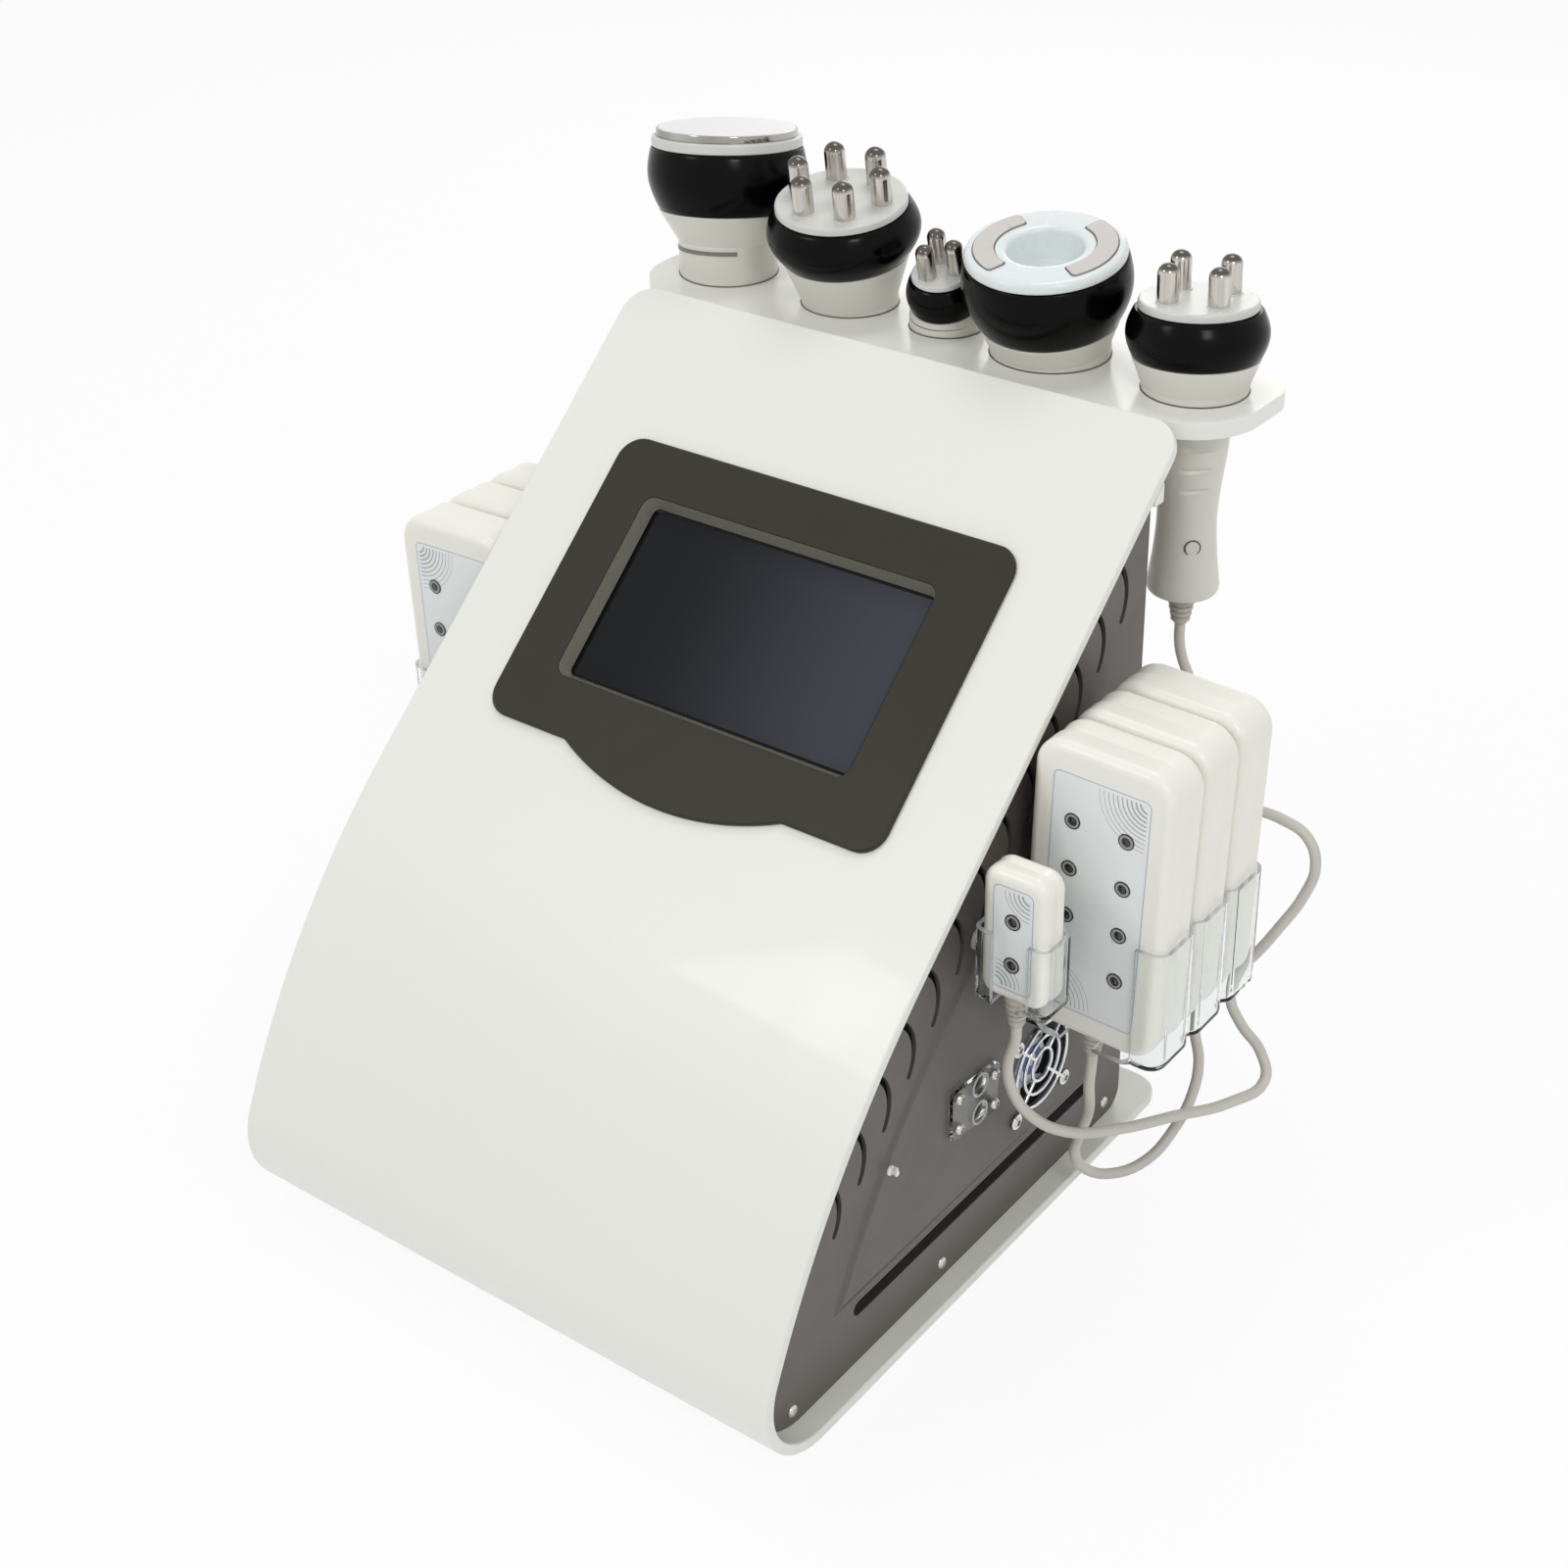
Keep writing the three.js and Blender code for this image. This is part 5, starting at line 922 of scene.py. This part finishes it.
# Laser pads: soft-edged casing with a seam, a label with its border and ripples, lenses, cord relief
def casing(width, height, depth, corner):
    made = block((width, depth, height), (0, depth / 2, height / 2))
    upright = [e for e in made.edges if abs(e.verts[0].co.y - e.verts[1].co.y) > 1]
    rounded_off(made, upright, corner, 12)
    made.normal_update()
    rim = [e for e in made.edges if abs(e.verts[0].co.y - e.verts[1].co.y) < 0.01
           and e.calc_face_angle(0) > 1]
    rounded_off(made, rim, 4.6, 6)
    for off, deep in ((-0.7, 0), (-0.3, 0.7), (0.3, 0.7), (0.7, 0)):
        cut = bmesh.ops.bisect_plane(made, geom=made.verts[:] + made.edges[:] + made.faces[:],
                                     plane_co=(0, depth / 2 + off, 0), plane_no=(0, 1, 0))["geom_cut"]
        made.normal_update()
        for v in verts_in(cut):
            v.co -= Vector((v.normal.x, 0, v.normal.z)).normalized() * deep
    return made


def strip(start, end, width):
    """A flat line from one point to another"""
    a, b = Vector(start), Vector(end)
    across = Vector((a.y - b.y, b.x - a.x)).normalized() * width / 2
    return flat([tuple(p) for p in (a - across, b - across, b + across, a + across)])


def ripple(centre, radius, width, start, sweep):
    """A flat arc line, spun from one short stroke"""
    made = bmesh.new()
    ends = [made.verts.new((r, 0, 0)) for r in (radius - width / 2, radius + width / 2)]
    stroke = made.edges.new(ends)
    bmesh.ops.spin(made, geom=[*ends, stroke], axis=(0, 0, 1), cent=(0, 0, 0), angle=sweep,
                   steps=max(6, int(abs(sweep) * radius / 1.6)), use_merge=False)
    looking(made, (0, 0, 1))
    return moved(made, (centre[0], centre[1], 0), Matrix.Rotation(start, 4, "Z"))


def label_lines(half_width, half_height, reach):
    """Hairline border and two sets of ripples in opposite corners"""
    w, h, line, corner = half_width - 1, half_height - 1, 0.35, 3
    made = [ripple((sx * (w - corner), sy * (h - corner)), corner, line, start, pi / 2)
            for sx, sy, start in ((1, 1, 0), (-1, 1, pi / 2), (-1, -1, pi), (1, -1, 1.5 * pi))]
    made += [strip((corner - w, s * h), (w - corner, s * h), line) for s in (-1, 1)]
    made += [strip((s * w, corner - h), (s * w, h - corner), line) for s in (-1, 1)]
    count = int(reach / 2.1)
    for k in range(count):
        radius = 3.4 + 2.1 * k
        width = 0.75 * (1 - k / count) + 0.14
        made.append(ripple((w - 1.6, h - 1.6), radius, width, pi, pi / 2))
        made.append(ripple((1.6 - w, 1.6 - h), radius, width, 0, pi / 2))
    return made


def lens_parts(x, z):
    """A lens's pale rim, and its dark bowl with the dark line round it"""
    toward = posed((x, -0.35, z), pi / 2)
    rim_shape = turned([(2.0, -0.6), (2.2, 0.25), (2.6, 0.35), (3.1, 0.2), (3.2, -0.3), (2.6, -0.6),
                        (2.0, -0.6)], 28)
    bowl = turned([(0, -0.5), (2.15, -0.5), (2.1, 0.05), (1.5, -0.05), (1.15, 0.16), (0.8, 0.34),
                   (0, 0.46)], 24)
    line = turned([(3.2, -0.5), (3.2, 0.12), (3.65, 0.12), (3.75, -0.5), (3.2, -0.5)], 32)
    return moved(rim_shape, toward), moved(several(bowl, line), toward)


def relief_shape(radius, length):
    """Strain relief: a plain head and three ribs, hanging down along Z"""
    k = radius / 5.4
    profile = [(0, 1), (5.0 * k, 1), (5.4 * k, 0), (5.4 * k, -3.2), (4.7 * k, -4.0)]
    step = (length - 5.4) / 4
    for n in range(4):
        z = -4.3 - step * n
        r = (5.2 - 0.45 * n) * k
        profile += [(r * 0.86, z), (r, z - 0.35), (r, z - step * 0.72), (r * 0.86, z - step * 0.86)]
    profile += [(3.1, -length + 0.4), (2.9, -length), (0, -length)]
    return turned(profile, 28)


def make_pad(name, body, stand, size, hand=()):
    middle, depth = size["height"] / 2, size["depth"]
    face = Matrix.Translation((0, 0, middle)) @ front_view
    wide, high = size["label"]
    label = moved(plate(round_box(-wide, -high, wide, high, 4), -0.4, 0.12), face)
    ink = [moved(grown(mark, 0.05, 0.15), face) for mark in label_lines(wide, high, size["ripples"])]
    lenses = [lens_parts((column - (size["columns"] - 1) / 2) * 25.3,
                         middle + size["rise"] + (row - (size["rows"] - 1) / 2) * size["pitch"])
              for column in range(size["columns"]) for row in range(size["rows"])]
    relief = moved(relief_shape(5.4, pad_relief), (size["relief_x"], depth / 2, 0))
    parts = [([casing(size["width"], size["height"], depth, size["corner"])], cream),
             ([label], label_face), (ink, label_ink), ([rim for rim, dark in lenses], lens_rim),
             ([dark for rim, dark in lenses], lens_dark), ([relief], relief_grey)]
    piece(f"{name}_casing", [(moved(several(*shapes), *hand, stand), look) for shapes, look in parts],
          body, (name,))


left_shift = (9, 4)
for side_name, side in (("right", 1), ("left", -1)):
    hand = [mirrored] if side < 0 else []
    back, down = (0, 0) if side > 0 else left_shift
    for k in range(3):
        stand = posed((big_holder["centre"], big_holder["front"] + pad_pitch * k + back,
                       big_rest - down), pad_lean, "Y")
        make_pad(f"laser_pad_{side_name}_{k + 1}", f"big_pad_{side_name}_{k + 1}", stand, big_size,
                 hand)
make_pad("small_pad_right", "little_pad_right",
         Matrix.Translation((small_holder["centre"], small_holder["front"], small_rest)), small_size)


# Clear holders: folded walls, an open front, a slot in the floor, fins between the pads
def make_holder(centre, width, front, depth, count, floor, height, corner, lean):
    gap = 2.5
    left = centre - width / 2 - gap
    right = centre + width / 2 + gap + height * tan(lean)
    last = front + (count - 1) * pad_pitch
    near, far = front - gap, last + depth + gap
    folds = [front + depth + k * pad_pitch + 1.5 for k in range(count - 1)]
    slot_x = centre - 2
    half_slot, lip = (8, 14) if count > 1 else (6, 9.5)
    slot_end = last + depth / 2 + 8
    bend = [(0, 6.5), (0.35, 5), (1.2, 3.5), (2.6, 1.9), (3.2, 0.7)]
    outline = [(slot_x + half_slot, near), (right - lip, near),
               *arc((right - corner, near + corner), corner, -pi / 2, 0, 7)]
    for fold in folds:
        outline += [(right - deep, fold - off) for deep, off in bend]
        outline += [(right - deep, fold + off) for deep, off in reversed(bend)]
    outline += [*arc((right - corner, far - corner), corner, 0, pi / 2, 7),
                *arc((left + corner, far - corner), corner, pi / 2, pi, 7),
                *arc((left + corner, near + corner), corner, pi, 1.5 * pi, 7),
                (left + lip, near), (slot_x - half_slot, near)]
    walls_end = len(outline) - 1
    outline += [(slot_x - half_slot, slot_end - 3),
                *arc((slot_x - half_slot + 3, slot_end - 3), 3, pi, pi / 2, 4)[1:],
                *arc((slot_x + half_slot - 3, slot_end - 3), 3, pi / 2, 0, 4)]
    made = flat(outline)
    looking(made, (0, 0, -1))
    bmesh.ops.translate(made, verts=made.verts, vec=(0, 0, floor))
    made.verts.ensure_lookup_table()
    edges = [made.edges.get((made.verts[k], made.verts[k + 1])) for k in range(1, walls_end - 1)]
    raised = bmesh.ops.extrude_edge_only(made, edges=edges)["geom"]
    bmesh.ops.translate(made, verts=verts_in(raised), vec=(0, 0, height))
    bmesh.ops.recalc_face_normals(made, faces=made.faces)
    made.normal_update()
    if min(made.faces, key=lambda f: f.calc_center_median().z).normal.z > 0:
        bmesh.ops.reverse_faces(made, faces=made.faces)
    foot = [e for e in edges if e.is_valid and len(e.link_faces) == 2]
    rounded_off(made, foot, min(corner * 0.5, 3.2), 4)
    middle = floor + height / 2
    fins = [block((12, 2.0, height - 1), (left + 7.5, fold, middle + 0.5), 0.4) for fold in folds]
    reach = (far - near - 4) * 0.22
    places = (near + 2 + reach, far - 2 - reach) if count > 1 else (far - 2 - reach,)
    spacers = [moved(rod(5, panel_face + 0.3, left + 0.6, 24, 0.3), posed((0, y, middle), pi / 2, "Y"))
               for y in places]
    return made, fins + spacers


for name, size in (("pad_holder_right", big_holder), ("pad_holder_left", big_holder),
                   ("small_holder_right", small_holder)):
    place = [mirrored, (0, left_shift[0], -left_shift[1])] if name.endswith("left") else []
    box_shape, solids = make_holder(**size)
    tray = piece(f"{name}_tray", [(moved(box_shape, *place), clear_acrylic)], "housing",
                 (name,))
    walled(tray, holder_wall, even=True).material_offset_rim = 1
    tray.data.materials.append(acrylic_edge)
    piece(f"{name}_fins", [(moved(several(*solids), *place), clear_acrylic)], "housing")


# Handpieces
notch_levels = (-43.6, -33.3, -22.4)
cup_depth = 16


def handle_profile(radius):
    down = handle_length
    body = [(-0.96 * down, 0.94), (-0.8 * down, 0.83), (-0.64 * down, 0.77), (-0.5 * down, 0.8),
            (-0.3 * down, 0.92), (-0.14 * down, 0.985), (-8.2, 1.0)]
    line = [(r * radius, z) for z, r in flowing(body, 18)]
    for z in (level + step for level in notch_levels for step in (-1.7, -1.1, 0, 1.1, 1.7)):
        after = next(k for k, point in enumerate(line) if point[1] > z)
        (r_low, z_low), (r_high, z_high) = line[after - 1:after + 1]
        line.insert(after, (r_low + (r_high - r_low) * (z - z_low) / (z_high - z_low), z))
    return [(0, -down), (0.8 * radius, -down), (0.875 * radius, -down + 0.5),
            (0.92 * radius, -down + 1.5), (0.937 * radius, -down + 2.8), *line, (0.98 * radius, -7.5)]


def handle_shapes(spec):
    radius, tilt, elbow = spec["handle"], radians(spec["tilt"]), spec["elbow"]
    seated = spec["hole"] + 0.9
    neck = spec["hole"] - 0.5
    reach = seated * abs(tan(tilt / 2))
    lower = turned([*handle_profile(radius), (neck, -7.5), (neck, 0.3), (seated - 0.25, 0.3),
                    (seated, 0.55), (seated, elbow + reach + 2)], 56)
    for v in lower.verts:
        around = abs(degrees(atan2(v.co.x, -v.co.y))) / 27
        for level in notch_levels:
            off = abs(v.co.z - level)
            if around < 1 and off < 1.65:
                outward = Vector((v.co.x, v.co.y, 0)).normalized()
                v.co -= outward * 1.5 * (1 - off / 1.7) ** 0.7 * (1 - around ** 2) ** 0.6
    top = spec["collar_top"] - elbow
    collar = spec["collar"]
    upper = turned([(seated, -reach - 2), (seated, reach / 2), (collar - 0.15, top - 0.6),
                    (collar - 0.3, top - 0.15), (collar - 0.7, top), (0, top)], 56)
    upper = moved(upper, posed((0, 0, elbow), tilt))
    mitre = Matrix.Rotation(tilt / 2, 3, "X") @ Vector((0, 0, 1))
    for shape, above in ((lower, True), (upper, False)):
        bmesh.ops.bisect_plane(shape, geom=shape.verts[:] + shape.edges[:] + shape.faces[:],
                               plane_co=(0, 0, elbow), plane_no=mitre, clear_outer=above,
                               clear_inner=not above)
    joined = several(lower, upper)
    bmesh.ops.remove_doubles(joined, verts=joined.verts, dist=0.02)
    bmesh.ops.recalc_face_normals(joined, faces=joined.faces)
    return joined


def grip_shape(spec):
    elbow = spec["elbow"]
    low, high = spec["collar_top"] + 0.3 - elbow, spec["grip_top"] - elbow
    bulge = spec["grip"] - (spec["collar"] + spec["neck"]) / 2
    rings = []
    for k in range(25):
        part = k / 24
        base = spec["collar"] + (spec["neck"] - spec["collar"]) * part
        rings.append((base + bulge * sin(pi * part), low + (high - low) * part))
    rings[0] = (rings[0][0] - 0.35, rings[0][1])
    rings[-1] = (rings[-1][0] - 0.5, rings[-1][1])
    rings.insert(-1, (rings[-2][0] * 0.25 + rings[-1][0] * 0.75 + 0.15, high - 0.3))
    if spec["name"] == "vacuum":
        floor = spec["top"] - elbow - cup_depth - 2.5 - 0.3
        end = [(19.8, high), (19.8, floor), (0, floor)]
    else:
        end = [(0, high)]
    return turned([(0, low), *rings, *end], 64)


# The working end above the grip, in the head's own frame: low and high are its ends, wide its radius
def disc_head(low, high, wide):
    rim = turned([(0, low), (wide - 0.5, low), (wide, low + 0.5), (wide, high - 1.2),
                  (wide - 0.4, high - 0.35), (wide - 1.2, high), (0, high)], 72)
    # The band's colour carries a painted reflection
    band = turned([(0, high - 0.2), (33.6, high - 0.2), (34, high + 0.4), (34, high + 3.0),
                   (33.7, high + 3.45), (33.1, high + 3.6), (0, high + 3.6)], 72)
    face = turned([(0, high + 3.5), (32.9, high + 3.5), (32.7, high + 3.72), (0, high + 3.75)], 72)
    return [(rim, plate_grey), (band, band_steel_painted_reflection), (face, disc_steel)]


def arc_shape(outer, inner, low, high, corner, merged):
    """A curved plate with round corners; each side is (radius, start, end)"""
    made = grown(flat([*arc((0, 0), *outer, 28), *arc((0, 0), *inner, 22)]), low, high)
    if merged:
        bmesh.ops.dissolve_limit(made, angle_limit=radians(0.5), verts=made.verts, edges=made.edges)
    upright = [e for e in made.edges if abs(e.verts[0].co.z - e.verts[1].co.z) > (high - low) / 2
               and e.calc_face_angle(0) > 1]
    rounded_off(made, upright, corner, 6, clamped=True)
    return made


def suction_head(low, high, wide):
    floor = high - cup_depth
    body = turned([(0, floor - 2.5), (19.5, floor - 2.5), (19.5, low), (wide - 0.8, low),
                   (wide - 0.2, low + 0.5), (wide, low + 1.4), (wide - 0.2, high - 2.2),
                   (wide - 0.9, high - 0.9), (wide - 2.0, high - 0.25), (wide - 3.4, high),
                   (20.5, high - 0.1), (18.6, high - 0.5), (17.4, high - 1.4), (17.0, high - 2.8),
                   (16.2, high - 8), (15.4, floor + 1.6), (14.6, floor + 0.5), (13, floor),
                   (0, floor)], 72)
    arcs, arc_groove_shade = [], []
    for middle in (radians(13.5), radians(193.5)):
        start, end = middle - radians(54), middle + radians(54)
        arcs.append(softened(arc_shape((31.8, start, end), (22.7, end, start),
                                       high - 0.6, high + 0.75, 2.6, True), 0.35))
        # The dark outline round each raised arc is painted shade in its channel
        arc_groove_shade.append(arc_shape((32.4, start - 0.02, end + 0.02), (22.1, end + 0.028, start - 0.028),
                                 high - 0.5, high + 0.05, 3.1, False))
    return [(body, vacuum_white), (several(*arcs), arc_grey), (several(*arc_groove_shade), gap_shade)]


def pole_head(low, high, wide, poles, steel):
    rim = turned([(0, low), (wide - 0.4, low), (wide, low + 0.4), (wide, high - 1.3),
                  (wide - 0.35, high - 0.45), (wide - 1.1, high), (0, high)], 64)
    count, radius, pole, tall, phase = poles
    tip = high + tall
    dome = [(pole * cos(a), tip - pole + pole * sin(a)) for a in (k * pi / 18 for k in range(9))]
    pins, collars = [], []
    for k in range(count):
        angle = phase + 2 * pi * k / count
        seat = (radius * cos(angle), radius * sin(angle), 0)
        pins.append(moved(turned([(0, high - 0.4), (pole, high - 0.4), *dome, (0, tip)], 32), seat))
        collars.append(moved(turned([(pole - 0.2, high - 0.2), (pole + 0.7, high - 0.2),
                                     (pole + 0.65, high + 0.3), (pole + 0.4, high + 0.45),
                                     (pole - 0.2, high + 0.45), (pole - 0.2, high - 0.2)], 28), seat))
    return [(several(rim, *collars), plate_grey), (several(*pins), steel)]


def head_parts(spec):
    ends = (spec["grip_top"] - spec["elbow"] + 0.3, spec["top"] - spec["elbow"], spec["plate"])
    if spec["name"] == "cavitation":
        return disc_head(*ends)
    if spec["name"] == "vacuum":
        return suction_head(*ends)
    tilt, turn = radians(spec["tilt"]), radians(spec["turn"])
    turn_of_head = (Matrix.Rotation(turn, 3, "Z") @ Matrix.Rotation(tilt, 3, "X")).to_euler("XYZ")
    return pole_head(*ends, spec["poles"], make_pole_steel(spec["name"], turn_of_head))


def collar_bar():
    """A narrow bar round a third of the collar"""
    made = bmesh.new()
    corners = [made.verts.new((x, 0, z))
               for x, z in ((23.2, -3.2), (24.15, -3.2), (24.15, -1.3), (23.2, -1.3))]
    section = [made.edges.new(pair) for pair in zip(corners, corners[1:] + corners[:1])]
    bmesh.ops.spin(made, geom=corners + section, axis=(0, 0, 1), cent=(0, 0, 0),
                   angle=radians(108), steps=30, use_merge=False)
    bmesh.ops.holes_fill(made, edges=made.edges[:], sides=4)
    bmesh.ops.recalc_face_normals(made, faces=made.faces)
    return moved(made, Matrix.Rotation(-pi, 4, "Z"))


for spec in specs:
    name = spec["name"]
    body = f"{name}_handpiece"
    stand = posed((spec["x"] * shelf_half, handpiece_row_y, shelf_top), radians(spec["turn"]), "Z")
    head = stand @ posed((0, 0, spec["elbow"]), radians(spec["tilt"]))
    seat = spec["handle"] * 0.78
    to_front = posed((0, 0, -71), pi / 2)
    relief = moved(relief_shape(6.3, handle_relief), (0, 0, -handle_length))
    # A thin dark ring round the button is painted shade in the gap round it
    button_gap_shade = moved(ring(3.6, 0.34, 40, 8), to_front, (0, 0, seat + 0.02))
    parts = [(moved(handle_shapes(spec), stand), handle_grey), (moved(relief, stand), relief_grey),
             (moved(button_gap_shade, stand), gap_shade)]
    if name == "cavitation":
        parts.append((moved(collar_bar(), head), bar_grey))
    piece(f"{name}_handle_body", parts, body, (f"{name}_handle",), smooth=24)
    cap = turned([(0, seat - 3.4), (3.2, seat - 3.4), (3.2, seat + 0.35), (3.0, seat + 0.55),
                  (2.6, seat + 0.68), (0, seat + 0.7)], 32)
    piece(f"{name}_button_cap", [(moved(cap, stand, to_front), handle_grey)],
          f"{name}_push_button", (f"{name}_button",))
    piece(f"{name}_grip_barrel", [(moved(grip_shape(spec), head), grip_black)], body,
          (f"{name}_grip",))
    piece(f"{name}_working_end", [(moved(shape, head), look) for shape, look in head_parts(spec)],
          body, (f"{name}_head",))


# Fan: rotor, wire guard with its screws
fan_axis = posed((0, *fan_place), pi / 2, "Y")
hub_top = 136.2
hub = turned([(0, 125.2), (11, 125.2), (11, 135.2), (10.7, 135.9), (10, hub_top), (0, hub_top)], 40)
shaft = rod(1.5, 124, 126, 16)
badge = turned([(0, hub_top - 0.1), (7.6, hub_top - 0.1), (7.4, hub_top + 0.1),
                (0, hub_top + 0.12)], 40)
middle_dot = turned([(0, hub_top), (3.0, hub_top), (2.9, hub_top + 0.22), (0, hub_top + 0.25)], 32)
blades = []
for k in range(7):
    blade = bmesh.new()
    bmesh.ops.create_grid(blade, x_segments=8, y_segments=6, size=1)
    for v in blade.verts:
        out = (v.co.x + 1) / 2
        chord = v.co.y
        radius = 10.2 + 10.6 * out
        sweep = radians(chord * (17 + 3 * out) + 16 * out + 360 * k / 7)
        v.co = Vector((radius * cos(sweep), radius * sin(sweep),
                       130.7 + chord * (4.6 - 0.9 * out) + 0.5 * (1 - chord * chord)))
    bmesh.ops.recalc_face_normals(blade, faces=blade.faces)
    bmesh.ops.solidify(blade, geom=blade.faces[:], thickness=0.9)
    blades.append(blade)
rotor = [(several(hub, shaft, *blades), rotor_white), (badge, rotor_blue), (middle_dot, rotor_white)]
piece("fan_wheel_blades", [(moved(shape, fan_axis), look) for shape, look in rotor],
      "fan_wheel", ("fan_rotor",))

wire_level, wire, eye_place = 141.7, 0.85, 28.28
wires = [moved(ring(radius, wire, 56, 10), (0, 0, wire_level)) for radius in (8, 14.5, 21)]
heads = []
for k in range(4):
    way = Matrix.Rotation(radians(45 + 90 * k), 4, "Z")
    wires.append(moved(rod(wire, 7.4, 25.6, 12), way, posed((0, 0, wire_level - 0.1), pi / 2, "Y")))
    wires.append(moved(ring(3, wire, 32, 10), way, (eye_place, 0, wire_level)))
    heads.append(moved(screw(2.7, 2.6), way, (eye_place, 0, 140.4)))
piece("wire_guard", [(moved(several(*wires), fan_axis), chrome),
                     (moved(several(*heads), fan_axis), screw_steel)],
      "housing", ("fan_guard",))


# Clear cover plate with two holes and four screws
def rounded(points, radius, steps=6):
    out = []
    for before, at, after in zip([points[-1], *points[:-1]], points, [*points[1:], points[0]]):
        at = Vector(at)
        a = at + (Vector(before) - at).normalized() * radius
        b = at + (Vector(after) - at).normalized() * radius
        out += [tuple(a * (1 - t) ** 2 + at * 2 * t * (1 - t) + b * t ** 2)
                for t in (k / steps for k in range(steps + 1))]
    return out


cover_line = rounded([(128.5, 81), (166, 77), (166, 103), (128.5, 107)], 4)
cover_top = 142.8
cover = plate(cover_line, 140.8, cover_top, [circle(*hole, 4.6, 32) for hole in cover_holes], 0.45)
bosses = [moved(ring(5.4, 0.55, 36, 8), (*hole, cover_top)) for hole in cover_holes]
heads = [moved(screw(2.7, 1.9), (y, z, 142.6)) for y, z in
         ((133.5, 86), (133.5, 102), (161, 82), (161, 98))]
piece("clear_cover", [(moved(cover, side_view), clear_acrylic),
                      (moved(several(*bosses), side_view), acrylic_edge),
                      (moved(several(*heads), side_view), screw_steel)],
      "housing", ("cover_plate",))

# CAD nodes that are shown as they are
kept = {
    "shelf_bracket": white_coat, "display_module": zinc, "control_board": solder_mask,
    "power_supply": zinc, "vacuum_pump": black_plastic, "fan_frame": black_plastic,
    "power_inlet": black_plastic, "power_switch": finish("rocker", srgb(22, 22, 23), 0.28, relief=0.02),
    "touch_screen": make_screen(),
}
for node, look in kept.items():
    nodes[node].data.materials.clear()
    nodes[node].data.materials.append(look)

# Stage: pale floor, white surroundings, soft lamps
floor_shape = bmesh.new()
bmesh.ops.create_grid(floor_shape, x_segments=1, y_segments=1, size=8)
floor_mesh = bpy.data.meshes.new("floor")
floor_shape.to_mesh(floor_mesh)
floor_shape.free()
floor = bpy.data.objects.new("floor", floor_mesh)
scene.collection.objects.link(floor)


def seen_directly(tree):
    """1 for camera, glossy and transmission rays"""
    path = add(tree, "LightPath")
    return most(tree, most(tree, path.outputs["Is Camera Ray"], path.outputs["Is Glossy Ray"]),
                path.outputs["Is Transmission Ray"])


def two_looks(owner, output, share, lit, seen):
    """A look for the light it gives or takes, and another for what is seen directly"""
    owner.use_nodes = True
    tree = owner.node_tree
    tree.nodes.clear()
    factor = add(tree, "Math", {0: seen_directly(tree), 1: share}, operation="MULTIPLY")
    first, second = (add(tree, kind, inputs) for kind, inputs in (lit, seen))
    blend = add(tree, "MixShader", {"Fac": factor.outputs[0], 1: first.outputs[0],
                                    2: second.outputs[0]})
    add(tree, output, {"Surface": blend.outputs[0]})
    return owner


floor_mesh.materials.append(two_looks(
    bpy.data.materials.new("floor"), "OutputMaterial", 0.9,
    ("BsdfDiffuse", {"Color": (0.92, 0.92, 0.92, 1)}), ("Emission", {"Color": (1, 1, 1, 1)})))
scene.world = two_looks(
    bpy.data.worlds.new("studio"), "OutputWorld", 1.0,
    ("Background", {"Color": (0.98, 0.99, 1.0, 1), "Strength": 0.61}),
    ("Background", {"Color": (1, 1, 1, 1), "Strength": 1.0}))


def softbox(name, place, aim, size, power):
    lamp = bpy.data.lights.new(name, "AREA")
    lamp.shape = "RECTANGLE"
    lamp.size, lamp.size_y = size
    lamp.energy = power
    lamp.color = (1.0, 0.992, 0.975)
    made = bpy.data.objects.new(name, lamp)
    made.location = place
    made.rotation_mode = "QUATERNION"
    made.rotation_quaternion = (Vector(aim) - Vector(place)).to_track_quat("-Z", "Y")
    scene.collection.objects.link(made)


softbox("left softbox", (-0.9, -1.5, 1.7), (0, -0.05, 0.2), (0.5, 0.5), 5.9)
softbox("right softbox", (1.3, -1.0, 1.5), (0, 0.05, 0.25), (0.4, 0.4), 6.5)
softbox("top softbox", (-0.1, 0.5, 1.9), (0, 0, 0.3), (0.7, 0.5), 5.2)
softbox("rear softbox", (-0.7, 1.8, 0.9), (0, 0.1, 0.2), (1.0, 0.7), 4.1)

scene.view_settings.view_transform = "Standard"
